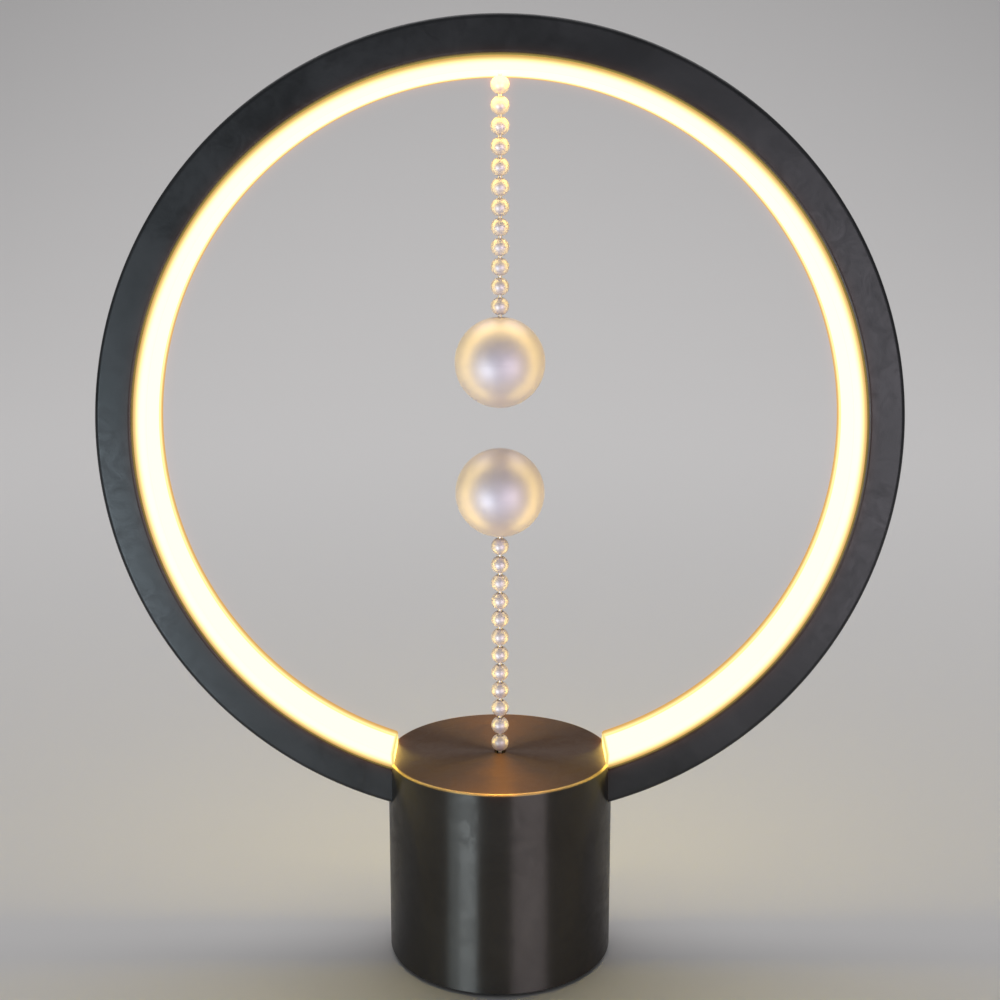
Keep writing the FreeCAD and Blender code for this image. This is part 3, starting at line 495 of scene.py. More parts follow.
# %% Turn the cover
COVER_END = 27.5 * MM
COVER_FIT = 0.08 * MM
COVER_WALL = 1.2 * MM
COVER_STEPS = 300
TONGUE_LENGTH = 2.5 * MM
TONGUE_WALL = 1.0 * MM
SPUN_END = 0.94 * COVER_END
shoulder = RING_INNER - COVER_FIT
tongue_out = WALL_INSIDE - COVER_FIT
tongue_in = tongue_out - TONGUE_WALL
half_outline = [
    (COVER_INNER, HALF_DEPTH), (shoulder, HALF_DEPTH), (shoulder, tongue_out),
    (RING_INNER + TONGUE_LENGTH, tongue_out), (RING_INNER + TONGUE_LENGTH, tongue_in),
    (COVER_INNER + COVER_WALL, tongue_in),
]
cover, corners = flat_outline(ring_points(half_outline + [(r, -y) for r, y in reversed(half_outline)]))
cover_half_turn = math.pi - math.asin(SPUN_END / RING_INNER)
spin_outline(cover, RING_CENTER, RING_AXIS, COVER_STEPS, cover_half_turn)
print("cover turned by", round(math.degrees(2 * cover_half_turn)), "degrees")

# %% Slice its ends upright
for side in (-1, 1):
    near_end = [v for v in cover.verts if side * v.co.x > 0 and v.co.z < RING_CENTER.z]
    faces = {face for v in near_end for face in v.link_faces}
    edges = {edge for face in faces for edge in face.edges}
    verts = {v for edge in edges for v in edge.verts}
    bmesh.ops.bisect_plane(cover, geom=[*verts, *edges, *faces], plane_co=(side * COVER_END, 0, 0),
                           plane_no=(side, 0, 0), clear_inner=True, dist=WELD)
    bmesh.ops.holes_fill(cover, edges=[edge for edge in cover.edges if edge.is_boundary])
bmesh.ops.recalc_face_normals(cover, faces=cover.faces[:])
print("ends cut upright at", round(COVER_END / MM, 1), "mm from the middle")

# %% [markdown]
# A pressed cover has no sharp edge. The long inner edges and the cut ends that show are found by angle
# and place, and bevelled by 0.55 mm. A Bevel modifier would round the hidden tongues as well.
#
# One fault is left in. At a tongue's root the bevels of its two sides cross, because each is more than
# half of its wall of 1.0 mm. The flat end face then folds over the cover's hollow, and the end looks closed.
# With COVER_BEVEL at 0.49 mm the face doesn't fold, but the look of that end hasn't been judged.

# %% Round the rim of the cover
COVER_BEVEL = 0.55 * MM
STEEP_ANGLE = 50
NEAR = 0.1 * MM
AT_CUT = 0.01 * MM


def on_cover_rim(edge):
    """The long inner edges, and the edges of the two cut ends that show."""
    middle = (edge.verts[0].co + edge.verts[1].co) / 2
    radius = math.hypot(middle.x, middle.z - RING_CENTER.z)
    steep = len(edge.link_faces) == 2 and edge.calc_face_angle() > math.radians(STEEP_ANGLE)
    low_end = middle.z < RING_CENTER.z and radius < shoulder + NEAR
    at_end = low_end and abs(abs(middle.x) - COVER_END) < AT_CUT
    return steep and (radius < COVER_INNER + NEAR or at_end)


rim = [edge for edge in cover.edges if on_cover_rim(edge)]
print("rim edges:", len(rim))
bmesh.ops.bevel(cover, geom=rim, offset=COVER_BEVEL, segments=3, profile=0.5, affect="EDGES", material=-1,
                clamp_overlap=True)

# %% [markdown]
# ## The glow
#
# Behind the frosted cover runs a row of warm light chips. The eye sees an even, nearly white band that
# painted shade turns yellow in four places: at its outer edge, where the channel's wall shades it, along its
# cut ends, along a fine line on its inner wall, and on that wall towards the far rim, where the cover bends
# away from the chips. Masks tell how near a point is to each place, and the strongest of them paints that
# shade into the glow. A light for each chip would cast spots and render slowly, so the cover itself glows.

# %% Where the cover is shaded
WALL_SHADE = 2.2 * MM
WALL_SHADE_POWER = 1.2
LINE_PLACE = 4.6 * MM
LINE_START, LINE_FULL, LINE_STRENGTH = 0.9 * MM, 0.3 * MM, 0.6
INNER_WALL_START, INNER_WALL_FULL = 0.7 * MM, 0.3 * MM
FAR_START, FAR_FULL = 3.0 * MM, 8.0 * MM
END_START, END_FULL, END_STRENGTH = 0.9 * MM, 0.2 * MM, 0.7


def cover_shade(tree):
    """Painted shade on the cover's glow: 0 where it is brightest, up to 1 where it is shaded most."""
    x, y, z = place_axes(tree)
    height = math_node(tree, "SUBTRACT", z, RING_CENTER.z)
    radius = axis_distance(tree, X=x, Z=height)
    beside_channel = math_node(tree, "POWER", fade(tree, radius, RING_INNER - WALL_SHADE, RING_INNER),
                               WALL_SHADE_POWER)
    from_line = math_node(tree, "ABSOLUTE", math_node(tree, "SUBTRACT", y, LINE_PLACE))
    fine_line = math_node(tree, "MULTIPLY", fade(tree, from_line, LINE_START, LINE_FULL), LINE_STRENGTH)
    inner_wall = fade(tree, radius, COVER_INNER + INNER_WALL_START, COVER_INNER + INNER_WALL_FULL)
    far_edge = math_node(tree, "MULTIPLY", fade(tree, y, FAR_START, FAR_FULL), inner_wall)
    sideways = math_node(tree, "ABSOLUTE", x)
    at_end = math_node(tree, "MULTIPLY", fade(tree, sideways, COVER_END + END_START, COVER_END + END_FULL),
                       math_node(tree, "LESS_THAN", height, 0.0))
    shade = math_node(tree, "MAXIMUM", fine_line, far_edge)
    shade = math_node(tree, "MAXIMUM", shade, math_node(tree, "MULTIPLY", at_end, END_STRENGTH))
    return math_node(tree, "MAXIMUM", beside_channel, shade)


# %% [markdown]
# What the cover casts on its neighbours is warmer and stronger than what it shows, because a bright lamp
# looks whiter than the light that it throws. A Light Path node tells the two apart.

# %% The glowing cover's material
CAST_COLOR = (1.0, 0.79, 0.2)
CAST_STRENGTH, SHOWN_STRENGTH = 6.2, 1.0
SHOWN_COLORS = [(0.0, (1.6, 1.4, 0.82)), (0.3, (1.2, 1.05, 0.56)), (0.6, (0.92, 0.76, 0.28)),
                (1.0, (0.52, 0.27, 0.04))]
cover_glow, glow_tree, glow_shader = new_material("cover_glow", (0.1, 0.075, 0.04), Roughness=0.45)
shown = ramp(glow_tree, cover_shade(glow_tree), SHOWN_COLORS)
seen = add_node(glow_tree, "ShaderNodeLightPath").outputs["Is Camera Ray"]
connect(glow_tree, glow_shader, Emission_Color=blend(glow_tree, seen, CAST_COLOR, shown),
        Emission_Strength=spread(glow_tree, seen, CAST_STRENGTH, SHOWN_STRENGTH))
print("glow casts", CAST_STRENGTH, "and shows", SHOWN_STRENGTH)

# %% [markdown]
# At the top a small round hole lets the upper chain's stem through the cover. A short cylinder drills it,
# as a workshop would.

# %% Drill the cover and put it in place
STEM_HOLE = 0.85 * MM
DRILL_LENGTH = 4 * MM
stem_drill = bmesh.new()
bmesh.ops.create_cone(stem_drill, cap_ends=True, segments=32, radius1=STEM_HOLE, radius2=STEM_HOLE,
                      depth=DRILL_LENGTH)
bmesh.ops.translate(stem_drill, vec=(0, 0, RING_CENTER.z + COVER_INNER), verts=stem_drill.verts[:])
light_cover = finish_piece("light_cover", cover, "base", [cover_glow], ["ring_diffuser"],
                           cutters=[stem_drill])

# %% [markdown]
# ## The foot's housing
#
# The housing is a turned cup, open below, with a crisp rounded rim. The chain passes through a small
# flared hole in its top, and the ring through its two sides. A cylinder would need a wall, a hole and a
# rounded rim added one by one, so the cup is spun with all of them in its outline.

# %% Turn the housing
TOP_WALL = 2.5 * MM
SIDE_WALL = 2.5 * MM
HOLE = 1.45 * MM
FLARE = 0.25 * MM
LOWER_BEVEL = 0.5 * MM
FOOT_STEPS = 192
bottom = housing_low.z
housing, corners = flat_outline([
    (HOLE + FLARE, 0, HOUSING_TOP), (HOUSING_RADIUS, 0, HOUSING_TOP), (HOUSING_RADIUS, 0, bottom),
    (HOUSING_RADIUS - SIDE_WALL, 0, bottom), (HOUSING_RADIUS - SIDE_WALL, 0, HOUSING_TOP - TOP_WALL),
    (HOLE, 0, HOUSING_TOP - TOP_WALL), (HOLE, 0, HOUSING_TOP - FLARE),
])
round_corners(housing, [corners[1]], RIM_BEVEL, segments=4)
round_corners(housing, [corner for corner in housing.verts if abs(corner.co.z - bottom) < SAME_PLACE
                        and corner.co.x > HOUSING_RADIUS - NEAR], LOWER_BEVEL, segments=3)
spin_outline(housing, Vector(), UP, FOOT_STEPS)
print("housing turned,", len(housing.faces), "faces")

# %% [markdown]
# The other passages are cut: a slot with the ring's own outline, a little larger all round, and a notch
# for each end of the light cover. Spinning the slot's cutter as the ring was spun keeps the gap even.

# %% Cutters for the ring and the cover's ends
RING_GAP = 0.15 * MM
NOTCH_LENGTH = 8 * MM
NOTCH_RISE = 2 * MM
slot_cutter, corners = flat_outline(ring_points([
    (RING_RADIUS + RING_GAP, HALF_DEPTH + RING_GAP), (RING_INNER - RING_GAP, HALF_DEPTH + RING_GAP),
    (RING_INNER - RING_GAP, -HALF_DEPTH - RING_GAP), (RING_RADIUS + RING_GAP, -HALF_DEPTH - RING_GAP),
]))
round_corners(slot_cutter, [corners[0], corners[3]], FRAME_BEVEL, segments=4)
spin_outline(slot_cutter, RING_CENTER, RING_AXIS, RING_STEPS)
passages = [slot_cutter]

notch_start = COVER_END - RING_GAP
notch_low = RING_CENTER.z - math.sqrt(RING_INNER**2 - notch_start**2)
notch_high = HOUSING_TOP + NOTCH_RISE
for side in (-1, 1):
    notch = bmesh.new()
    bmesh.ops.create_cube(notch, size=1)
    bmesh.ops.scale(notch, vec=(NOTCH_LENGTH, 2 * (HALF_DEPTH + RING_GAP), notch_high - notch_low),
                    verts=notch.verts[:])
    middle = (side * (notch_start + NOTCH_LENGTH / 2), 0, (notch_low + notch_high) / 2)
    bmesh.ops.translate(notch, vec=middle, verts=notch.verts[:])
    passages.append(notch)
print("notches from", round(notch_low / MM, 1), "to", round(notch_high / MM, 1), "mm")

# %% [markdown]
# At the back, a slot with round sides shows the power socket. Its cutter is a flat face with the corners
# rounded nearly to half circles, pushed out through the wall. It is sized by the socket's own solid.

# %% Cutter for the power socket
SOCKET_GAP = 0.2 * MM
NEARLY_ROUND = 0.999
socket_low, socket_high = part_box("socket_shell")
half_wide = socket_high.x + SOCKET_GAP
half_tall = (socket_high.z - socket_low.z) / 2 + SOCKET_GAP
socket_level = (socket_high.z + socket_low.z) / 2
cutter_start = HOUSING_RADIUS - 2 * SIDE_WALL
socket_cutter, corners = flat_outline([(x, cutter_start, socket_level + z) for x, z in (
    (-half_wide, -half_tall), (half_wide, -half_tall), (half_wide, half_tall), (-half_wide, half_tall))])
round_corners(socket_cutter, corners, NEARLY_ROUND * half_tall, segments=10)
pushed = bmesh.ops.extrude_face_region(socket_cutter, geom=socket_cutter.faces[:])
far_side = [item for item in pushed["geom"] if isinstance(item, bmesh.types.BMVert)]
bmesh.ops.translate(socket_cutter, vec=(0, 3 * SIDE_WALL, 0), verts=far_side)
bmesh.ops.recalc_face_normals(socket_cutter, faces=socket_cutter.faces[:])
passages.append(socket_cutter)

# %% Cut the housing and put it in place
foot_housing = finish_piece("foot_housing", housing, "base", [housing_satin], ["base_housing"],
                            cutters=passages)

# %% [markdown]
# ## Pearl metal
#
# Beads and balls have a satin pearl coat: a pale rose metal under a thin soft gloss. It mirrors the ring
# as two soft golden arcs. A plain metal of the same gloss would look too perfect, so fine ripples in
# the coat and faint clouds in its colour break the reflections.

# %% The pearl materials
CLOUD_SCALE = 160.0
RIPPLE_SCALE = 900.0
CLOUD_LOW, CLOUD_HIGH = 0.3, 0.7
GLOSS_SPREAD = 0.03


def pearl(name, color, rough, ripple):
    material, tree, shader = new_material(name, color, Metallic=0.5, Roughness=rough, Coat_Weight=0.1,
                                          Coat_Roughness=0.3)
    place = object_place(tree)
    cloud = noise(tree, place, CLOUD_SCALE, Detail=3.0)
    tint = ramp(tree, cloud, [(0.35, darker(color, 0.95)), (0.65, color)])
    gloss = spread(tree, cloud, rough - GLOSS_SPREAD, rough + GLOSS_SPREAD, CLOUD_LOW, CLOUD_HIGH)
    fine = noise(tree, place, RIPPLE_SCALE, Detail=2.0)
    connect(tree, shader, Base_Color=tint, Roughness=gloss,
            Normal=relief(tree, fine, strength=ripple, depth=0.04 * MM))
    return material


ball_pearl = pearl("ball_pearl", (0.61, 0.535, 0.58), rough=0.52, ripple=0.05)
bead_pearl = pearl("bead_pearl", (0.64, 0.56, 0.58), rough=0.46, ripple=0.03)
link_metal = pearl("link_metal", (0.66, 0.58, 0.54), rough=0.3, ripple=0.1)
print("pearl:", ball_pearl.name, bead_pearl.name, link_metal.name)

# %% [markdown]
# ## The chains
#
# A ball chain is a row of hollow beads joined by tiny dumbbells. Each bead is a thin shell with a rolled
# hole at both ends; each dumbbell has a round head inside each of its two beads. Arrays along a curve
# could lay them out, but the chain bends at real joints, so every stretch between two joints is a piece
# of its own. One bead and one link are spun once, and copies are moved to each place along the chain.

# %% Shapes of a bead and a link
BEAD_RADIUS = 2.28 * MM
BEAD_WALL = 0.35 * MM
BEAD_HOLE = 0.85 * MM
BEAD_BEVEL = 0.12 * MM
BEAD_ARC, BEAD_INSIDE_ARC, BEAD_STEPS = 18, 10, 36
HEAD_RADIUS = 0.95 * MM
SHANK_RADIUS = 0.45 * MM
HEAD_ARC, LINK_STEPS = 8, 20


def arc_points(radius, start, stop, count, height=0.0):
    """Points on an arc in the XZ plane about a height on the Z axis; angles from +Z in degrees."""
    angles = [math.radians(start + (stop - start) * step / count) for step in range(count + 1)]
    return [Vector((radius * math.sin(angle), 0, height + radius * math.cos(angle))) for angle in angles]


def bead_shape():
    hole_angle = math.degrees(math.asin(BEAD_HOLE / BEAD_RADIUS))
    inner = BEAD_RADIUS - BEAD_WALL
    inner_angle = math.degrees(math.asin(BEAD_HOLE / inner))
    outside = arc_points(BEAD_RADIUS, hole_angle, 180 - hole_angle, BEAD_ARC)
    inside = arc_points(inner, 180 - inner_angle, inner_angle, BEAD_INSIDE_ARC)
    shape, corners = flat_outline(outside + inside)
    round_corners(shape, [corners[0], corners[BEAD_ARC]], BEAD_BEVEL, segments=2)
    spin_outline(shape, Vector(), UP, BEAD_STEPS)
    return shape


def link_shape(length):
    """A dumbbell whose heads' centres are a length apart, the lower at the origin."""
    neck = math.degrees(math.asin(SHANK_RADIUS / HEAD_RADIUS))
    shape = open_rail(arc_points(HEAD_RADIUS, 180, neck, HEAD_ARC)
                      + arc_points(HEAD_RADIUS, 180 - neck, 0, HEAD_ARC, length))
    spin_edges(shape, Vector(), UP, LINK_STEPS)
    return shape


# %% Spin one bead and one link
PITCH = 4.82 * MM
PIVOT = 1.2785 * MM
bead_mesh = shape_mesh("bead", bead_shape())
link_mesh = shape_mesh("link", link_shape(PITCH - 2 * PIVOT))
print("bead", len(bead_mesh.polygons), "faces, link", len(link_mesh.polygons), "faces")

# %% Helpers that lay out a chain
def chain_piece(name, body, replaced, beads, links):
    """One object of beads and links at given heights; link heights are those of their lower heads."""
    shape = bmesh.new()
    for heights, mesh, slot in ((beads, bead_mesh, 0), (links, link_mesh, 1)):
        for height in heights:
            before = len(shape.verts)
            faces_before = len(shape.faces)
            shape.from_mesh(mesh)
            shape.verts.ensure_lookup_table()
            shape.faces.ensure_lookup_table()
            bmesh.ops.translate(shape, vec=(0, 0, height), verts=shape.verts[before:])
            for face in shape.faces[faces_before:]:
                face.material_index = slot
    piece = finish_piece(name, shape, body, [bead_pearl, link_metal], replaced, weighted=False)


def chain_level(side, index):
    """Height of a bead's centre; the first bead sits next to the chain's stem."""
    low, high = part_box(side + "_first_bead")
    toward = 1 if side == "lower" else -1
    return (low.z + high.z) / 2 + toward * index * PITCH


def between(side, index):
    """Height of the lower head of the link after a bead."""
    return min(chain_level(side, index), chain_level(side, index + 1)) + PIVOT


# %% Lay out both chains
RUNS = {"chain_1": (1, 4, "run_1"), "chain_2": (4, 8, "run_2"), "chain_3": (8, 12, "run_3")}
LOOSE_AFTER = {"a": 3, "b": 7}
for side in ("upper", "lower"):
    chain_piece(side + "_end_bead", side + "_bead", [side + "_first_bead"], [chain_level(side, 0)], [])
    for node, (start, stop, body) in RUNS.items():
        heights = [chain_level(side, index) for index in range(start, stop)]
        inside_links = [between(side, index) for index in range(start, stop - 1)]
        replaced = [f"{side}_{node}"]
        if node == "chain_1":
            inside_links.append(between(side, 0))
            replaced.append(side + "_first_link")
        chain_piece(f"{side}_beads_{node[-1]}", f"{side}_{body}", replaced, heights, inside_links)
    for letter, index in LOOSE_AFTER.items():
        chain_piece(f"{side}_loose_link_{letter}", f"{side}_joint_{letter}", [f"{side}_link_{letter}"], [],
                    [between(side, index)])

# %% [markdown]
# Each chain starts on a stem, which holds it to the ring or to the foot, and ends on the link that
# holds its ball. Both are dumbbells too, only of other lengths, so the same shape serves.

# %% Stems and ball links
def lone_link(side, part, body):
    """A dumbbell as long as the solid that it stands for."""
    low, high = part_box(f"{side}_{part}")
    shape = link_shape(high.z - low.z - 2 * HEAD_RADIUS)
    bmesh.ops.translate(shape, vec=(0, 0, low.z + HEAD_RADIUS), verts=shape.verts[:])
    piece = finish_piece(f"{side}_{part}_turned", shape, f"{side}_{body}", [link_metal], [f"{side}_{part}"],
                         weighted=False)


for side in ("upper", "lower"):
    lone_link(side, "stem", "hook")
    lone_link(side, "ball_link", "joint_c")

# %% [markdown]
# ## The balls
#
# Each ball is two half shells pressed together on a lip, with a magnet behind the pole that faces the
# other ball. The half next to the chain has a flared mouth for the last link. A UV sphere would be
# quicker, but it has no wall, no mouth and no seam. So both halves are spun; the seam between them is a
# hairline with softened edges, and only shows close up.

# %% Turn the half shells
BALL_RADIUS = 11.35 * MM
BALL_WALL = 1.2 * MM
BALL_INSIDE = BALL_RADIUS - BALL_WALL
MOUTH_FLARE = 0.5 * MM
MOUTH_BEVEL = 0.15 * MM
SEAM = 0.004 * MM
SEAM_BEVEL = 1.5 * SEAM
CAP_ARC, FACE_ARC, INSIDE_ARC, BALL_STEPS = 28, 30, 16, 96


def cap_half():
    """The upper half of a ball about the origin, with a mouth at its pole."""
    outer_angle = math.degrees(math.asin((BEAD_HOLE + MOUTH_FLARE) / BALL_RADIUS))
    inner_angle = math.degrees(math.asin(BEAD_HOLE / BALL_INSIDE))
    shape, corners = flat_outline(arc_points(BALL_RADIUS, outer_angle, 90, CAP_ARC)
                                  + arc_points(BALL_INSIDE, 90, inner_angle, INSIDE_ARC))
    round_corners(shape, [corners[0]], MOUTH_BEVEL, segments=2)
    round_corners(shape, [corners[CAP_ARC]], SEAM_BEVEL, segments=1)
    spin_outline(shape, Vector(), UP, BALL_STEPS)
    return shape


def face_half():
    """The upper half of a ball about the origin, closed at its pole."""
    shape = open_rail(arc_points(BALL_RADIUS, 0, 90, FACE_ARC) + arc_points(BALL_INSIDE, 90, 0, INSIDE_ARC))
    spin_edges(shape, Vector(), UP, BALL_STEPS)
    return shape


# %% Put the halves together
def place_half(side, part, shape, upward, center):
    """Lifts a half off the seam, turns it the way it faces and moves it to its ball's centre."""
    bmesh.ops.translate(shape, vec=(0, 0, SEAM), verts=shape.verts[:])
    if not upward:
        bmesh.ops.scale(shape, vec=(1, 1, -1), verts=shape.verts[:])
        bmesh.ops.reverse_faces(shape, faces=shape.faces[:])
    bmesh.ops.translate(shape, vec=(0, 0, center), verts=shape.verts[:])
    piece = finish_piece(f"{side}_{part}_shell", shape, side + "_ball", [ball_pearl], [f"{side}_{part}"])


for side, chain_above in (("upper", True), ("lower", False)):
    cap_low, cap_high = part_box(f"{side}_ball_cap")
    center = cap_high.z - BALL_RADIUS if chain_above else cap_low.z + BALL_RADIUS
    place_half(side, "ball_cap", cap_half(), chain_above, center)
    place_half(side, "ball_face", face_half(), not chain_above, center)

# %% [markdown]
# ## The rest of the solids
#
# The pieces inside the foot and the channel keep their own solids, whose shapes are right. They still get
# a real finish each: brushed steel, turned brass, a green board with its tracks, moulded plastics and
# ribbed rubber. Brushed metal has long fine lines, so its noise is squeezed along one axis, in a group
# that every metal shares.

# %% The brushed group
brushed, brushed_in, brushed_out = new_group("brushed_lines", {"Lines": 900.0, "Stretch": 0.04},
                                             ("Shade", "Height"))
x, y, z = place_axes(brushed)
slow_z = math_node(brushed, "MULTIPLY", z, brushed_in.outputs["Stretch"])
squeezed = add_node(brushed, "ShaderNodeCombineXYZ", {"X": x, "Y": y, "Z": slow_z}).outputs["Vector"]
brushed_lines = noise(brushed, squeezed, brushed_in.outputs["Lines"], Detail=3.0)
connect(brushed, brushed_out, Shade=brushed_lines, Height=brushed_lines)
print("group", brushed.name)


# %% Brushed metals and moulded plastics
def brushed_metal(name, color, rough):
    material, tree, shader = new_material(name, color, Metallic=1.0, Roughness=rough)
    group = add_node(tree, "ShaderNodeGroup", node_tree=brushed)
    connect(tree, shader,
            Base_Color=ramp(tree, group.outputs["Shade"], [(0.3, darker(color, 0.8)), (0.7, color)]),
            Roughness=spread(tree, group.outputs["Shade"], rough - 0.06, rough + 0.12),
            Normal=relief(tree, group.outputs["Height"], strength=0.2, depth=0.03 * MM))
    return material


def moulded_plastic(name, color, rough):
    material, tree, shader = new_material(name, color, Roughness=rough)
    group = add_node(tree, "ShaderNodeGroup", {"Grain Size": 1400.0}, node_tree=satin)
    connect(tree, shader,
            Base_Color=ramp(tree, group.outputs["Clouds"], [(0.3, darker(color, 0.88)), (0.7, color)]),
            Roughness=spread(tree, group.outputs["Smudges"], rough - 0.05, rough + 0.08),
            Normal=relief(tree, group.outputs["Grain"], strength=0.25, depth=0.03 * MM))
    return material


# %% [markdown]
# The rubber pad has fine rings pressed into it, and the board has copper tracks under a green lacquer.
# Both patterns are too fine for faces of their own, so they are waves and bricks read from Object
# coordinates, and stay put when the lamp is turned over. The light chips are specked with phosphor.

# %% Rubber, board and light chips
def ringed_rubber():
    material, tree, shader = new_material("pad_rubber", (0.02, 0.02, 0.021), Roughness=0.75)
    place = object_place(tree)
    rings = add_node(tree, "ShaderNodeTexWave", {"Vector": place, "Scale": 260.0, "Distortion": 0.0},
                     wave_type="RINGS", rings_direction="Z")
    dust = noise(tree, place, 700.0, Detail=4.0)
    connect(tree, shader,
            Base_Color=ramp(tree, dust, [(0.35, (0.017, 0.017, 0.018)), (0.7, (0.035, 0.034, 0.033))]),
            Normal=relief(tree, rings.outputs["Fac"], strength=0.6, depth=0.2 * MM))
    return material


def lacquered_board():
    material, tree, shader = new_material("board_green", (0.03, 0.16, 0.07), Roughness=0.35)
    tracks = add_node(tree, "ShaderNodeTexBrick",
                      {"Vector": object_place(tree), "Scale": 420.0, "Mortar Size": 0.06,
                       "Color1": (0.03, 0.17, 0.07, 1), "Color2": (0.02, 0.13, 0.05, 1),
                       "Mortar": (0.09, 0.26, 0.1, 1)})
    connect(tree, shader, Base_Color=tracks.outputs["Color"],
            Normal=relief(tree, tracks.outputs["Fac"], strength=0.3, depth=0.05 * MM))
    return material


def lit_chip():
    material, tree, shader = new_material("chip_glow", (1.0, 0.85, 0.4), Roughness=0.5,
                                          Emission_Color=(1.0, 0.8, 0.45, 1), Emission_Strength=3.0)
    speck = add_node(tree, "ShaderNodeTexVoronoi", {"Vector": object_place(tree), "Scale": 1800.0})
    connect(tree, shader, Base_Color=ramp(tree, speck.outputs["Distance"],
                                          [(0.1, (1.0, 0.72, 0.25)), (0.6, (1.0, 0.86, 0.5))]))
    return material


# %% Hand out the finishes
METALS = {
    "weight_steel": ((0.5, 0.5, 0.51), 0.35),
    "screw_steel": ((0.2, 0.2, 0.21), 0.38),
    "shell_steel": ((0.62, 0.62, 0.63), 0.26),
    "bush_brass": ((0.72, 0.53, 0.24), 0.3),
    "can_aluminium": ((0.72, 0.72, 0.74), 0.3),
    "magnet_nickel": ((0.66, 0.65, 0.62), 0.2),
}
PLASTICS = {
    "black_plastic": ((0.022, 0.022, 0.023), 0.5),
    "chip_black": ((0.03, 0.03, 0.032), 0.45),
    "strip_white": ((0.8, 0.8, 0.77), 0.45),
    "button_white": ((0.75, 0.75, 0.72), 0.4),
    "plunger_white": ((0.7, 0.69, 0.65), 0.42),
    "wire_white": ((0.75, 0.75, 0.75), 0.5),
}
finishes = {
    "pad_rubber": ringed_rubber(), "board_green": lacquered_board(), "chip_glow": lit_chip(),
    "diffuser_glow": cover_glow, "housing_charcoal": housing_satin, "frame_charcoal": frame_satin,
    "bead_pearl": bead_pearl, "link_metal": link_metal, "ball_pearl": ball_pearl,
}
for name, (color, rough) in METALS.items():
    finishes[name] = brushed_metal(name, color, rough)
for name, (color, rough) in PLASTICS.items():
    finishes[name] = moulded_plastic(name, color, rough)
for subpart in frame["record"]["subparts"]:
    solid = frame["nodes"][subpart["node"]]
    for slot in solid.material_slots:
        slot.material = finishes[subpart["material_slot"]]
print("finishes:", len(finishes))

# %% [markdown]
# ## The floor
#
# The lamp stands on a plain pale floor. A flat plane would end in a horizon line across the ring, so the
# floor sweeps up far behind the lamp in a quarter circle. It is one rail of edges, pulled sideways into a
# sheet.

# %% Draw and pull the floor
FLOOR_SIDE, FLOOR_FRONT, FLOOR_HEIGHT = 7, -4, 5
SWEEP_START = 1.0
SWEEP_RADIUS = 2.2
SWEEP_STEPS = 16
profile = [Vector((-FLOOR_SIDE, FLOOR_FRONT, 0)), Vector((-FLOOR_SIDE, SWEEP_START, 0))]
for step in range(1, SWEEP_STEPS + 1):
    turn = math.pi / 2 * step / SWEEP_STEPS
    back = SWEEP_START + SWEEP_RADIUS * math.sin(turn)
    profile.append(Vector((-FLOOR_SIDE, back, SWEEP_RADIUS * (1 - math.cos(turn)))))
profile.append(Vector((-FLOOR_SIDE, SWEEP_START + SWEEP_RADIUS, FLOOR_HEIGHT)))
floor_shape = open_rail(profile)
swept = bmesh.ops.extrude_edge_only(floor_shape, edges=floor_shape.edges[:])
pulled = [item for item in swept["geom"] if isinstance(item, bmesh.types.BMVert)]
bmesh.ops.translate(floor_shape, vec=(2 * FLOOR_SIDE, 0, 0), verts=pulled)
bmesh.ops.recalc_face_normals(floor_shape, faces=floor_shape.faces[:])
for face in floor_shape.faces:
    face.smooth = True
print("floor sheet:", len(floor_shape.faces), "faces")

# %% Paint the floor and put it under the lamp
floor = bpy.data.objects.new("floor", shape_mesh("floor", floor_shape))
scene.collection.objects.link(floor)
floor_paint = new_material("floor_paint", (0.68, 0.67, 0.66), Roughness=0.75)[0]
floor.data.materials.append(floor_paint)
print("floor sweeps up", SWEEP_START, "m behind the lamp")

# %% [markdown]
# ## Studio light
#
# A dark satin cylinder shows a soft panel as an upright streak, as high as the panel and as wide as the
# panel's angle seen from the foot. So the panels stand close beside the camera: a cool one on the left
# with a weaker one beside it, where the streak fades out, and a wider one on the right. The left one
# hangs low, even below the floor's level, because the foot is seen from above and mirrors what is low,
# while the ring's flat face then stays dark. A wide panel above lights the floor and the sweep. All are
# modest, so the lamp's own glow stays the brightest thing.

# %% The panels
def soft_panel(name, place, aim, size, power, color):
    """A rectangular area light that looks from one place at another; size is its width and height."""
    data = bpy.data.lights.new(name, "AREA")
    data.shape = "RECTANGLE"
    data.size, data.size_y = size
    data.energy = power
    data.color = color
    panel = bpy.data.objects.new(name, data)
    panel.location = place
    panel.rotation_euler = (Vector(aim) - Vector(place)).to_track_quat("-Z", "Y").to_euler()
    scene.collection.objects.link(panel)
    return panel


left_panel = soft_panel("left_panel", place=(-0.33, -0.56, -0.07), aim=(0, 0, -0.07), size=(0.19, 0.3),
                        power=1.85, color=(0.77, 0.92, 1.0))
left_edge = soft_panel("left_edge", place=(-0.452, -0.468, 0.08), aim=(0, 0, 0.08), size=(0.12, 0.3),
                       power=0.7, color=(0.76, 0.93, 1.0))
right_panel = soft_panel("right_panel", place=(0.305, -0.574, 0.08), aim=(0, 0, 0.08), size=(0.38, 0.4),
                         power=1.8, color=(1.0, 0.93, 1.0))
soft_panel("top_panel", place=(0.0, 0.9, 1.7), aim=(0, 1.3, 0.0), size=(2.6, 1.6), power=26.0,
           color=(1.0, 0.99, 1.0))

# %% [markdown]
# The three side panels would burn out the floor beside them. Moving them away would narrow their streaks,
# so light linking keeps them off the floor instead, and lets them shine through it.

# %% Keep the side panels off the floor
def light_only(panel, things):
    """The panel lights the things in a collection, and only they can cast a shadow in its light."""
    panel.light_linking.receiver_collection = things
    panel.light_linking.blocker_collection = things


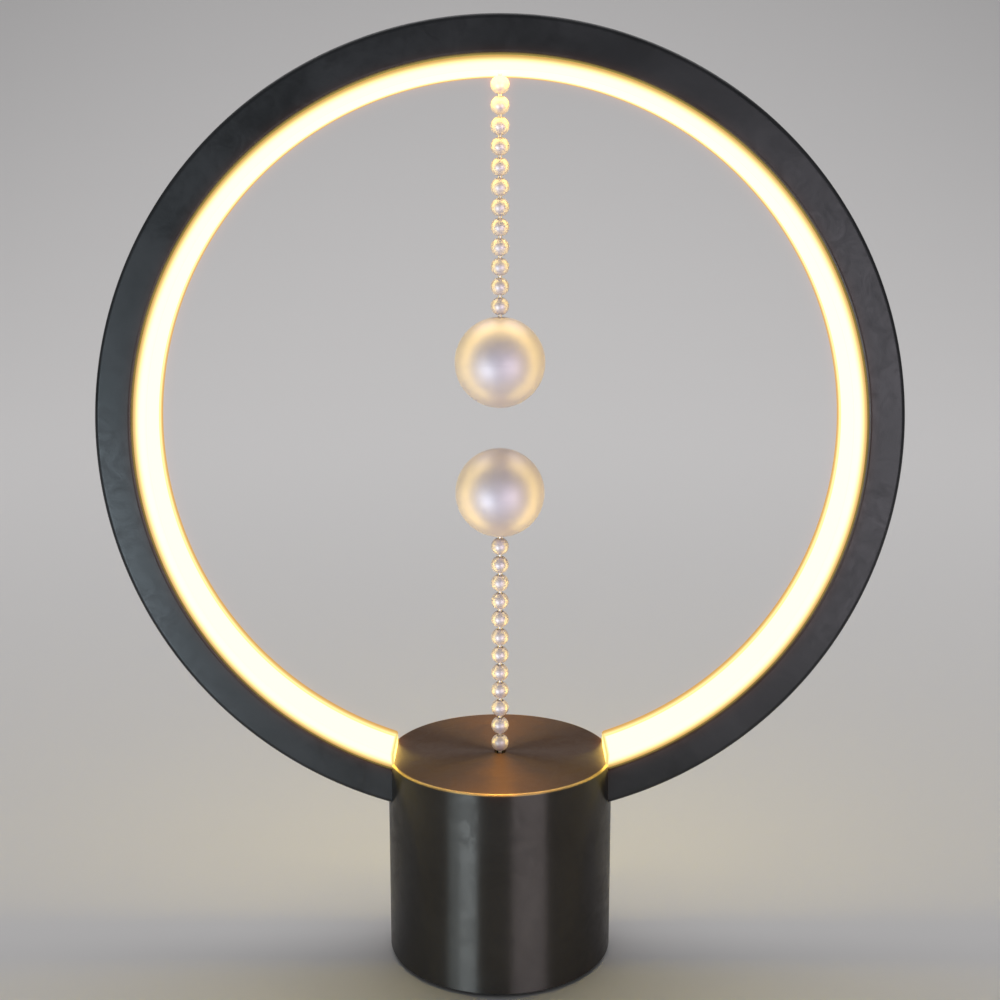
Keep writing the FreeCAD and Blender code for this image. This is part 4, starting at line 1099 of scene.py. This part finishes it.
all_but_floor = bpy.data.collections.new("all_but_floor")
all_but_floor.objects.link(floor)
all_but_floor.collection_objects[0].light_linking.link_state = "EXCLUDE"
for panel in (left_panel, left_edge, right_panel):
    light_only(panel, all_but_floor)
print("kept off the floor:", left_panel.name, left_edge.name, right_panel.name)

# %% [markdown]
# ## The ring's light on the foot
#
# The top of the ring hangs straight over the foot and shows in its satin top as a warm streak towards the
# viewer, in a wider brown glow. The cover casts that light itself, but a small bright band is noisy on a
# rough mirror. Two warm panels just under the ring's top, which light the housing alone, past the chains,
# and are never seen, give the same streak cleanly.

# %% Warm panels under the ring
UNDER_RING = 4 * MM
only_foot = bpy.data.collections.new("only_foot")
only_foot.objects.link(foot_housing)
warm_place = (0, 0, RING_CENTER.z + COVER_INNER - UNDER_RING)
for name, size, power, color in (("ring_streak", (0.03, 0.012), 0.14, (1.0, 0.55, 0.17)),
                                 ("ring_glow", (0.17, 0.02), 0.5, (1.0, 0.55, 0.2))):
    warm = soft_panel(name, warm_place, (0, 0, 0), size, power, color)
    warm.visible_camera = False
    light_only(warm, only_foot)
    print(name, "at", round(warm_place[2] / MM), "mm")

# %% [markdown]
# ## The room
#
# The world adds an even pale light from all round. Panels alone would leave the shadows black. The
# colours are shown as they are, without a film look.

# %% World and colour view
ROOM_COLOR = (0.95, 0.96, 1.0, 1)
ROOM_STRENGTH = 0.2
world = bpy.data.worlds.new("soft_room")
world.use_nodes = True
background = world.node_tree.nodes["Background"]
background.inputs["Color"].default_value = ROOM_COLOR
background.inputs["Strength"].default_value = ROOM_STRENGTH
scene.world = world
scene.view_settings.view_transform = "Standard"
scene.view_settings.look = "None"
print("world strength", ROOM_STRENGTH)

# %% [markdown]
# ## Bloom
#
# A bright band seen against dark parts bleeds a little warm light over its edges. It happens in the lens
# and not on the lamp, so it belongs in the finished picture: a Glare node set to Bloom adds it there.

# %% Bloom in the compositor
scene.use_nodes = True
compositor = scene.node_tree
compositor.nodes.clear()
layers = compositor.nodes.new("CompositorNodeRLayers")
bloom = compositor.nodes.new("CompositorNodeGlare")
bloom.glare_type = "BLOOM"
bloom.quality = "HIGH"
bloom_settings = {"Threshold": 0.9, "Strength": 0.6, "Size": 0.03, "Tint": (1.0, 0.28, 0.03, 1)}
for name, value in bloom_settings.items():
    bloom.inputs[name].default_value = value
output = compositor.nodes.new("CompositorNodeComposite")
compositor.links.new(layers.outputs["Image"], bloom.inputs["Image"])
compositor.links.new(bloom.outputs["Image"], output.inputs["Image"])
print("bloom:", bloom_settings)

# %% [markdown]
# ## The lamp's size
#
# Dressing must not change the lamp's size.

# %% Finish
print("done")
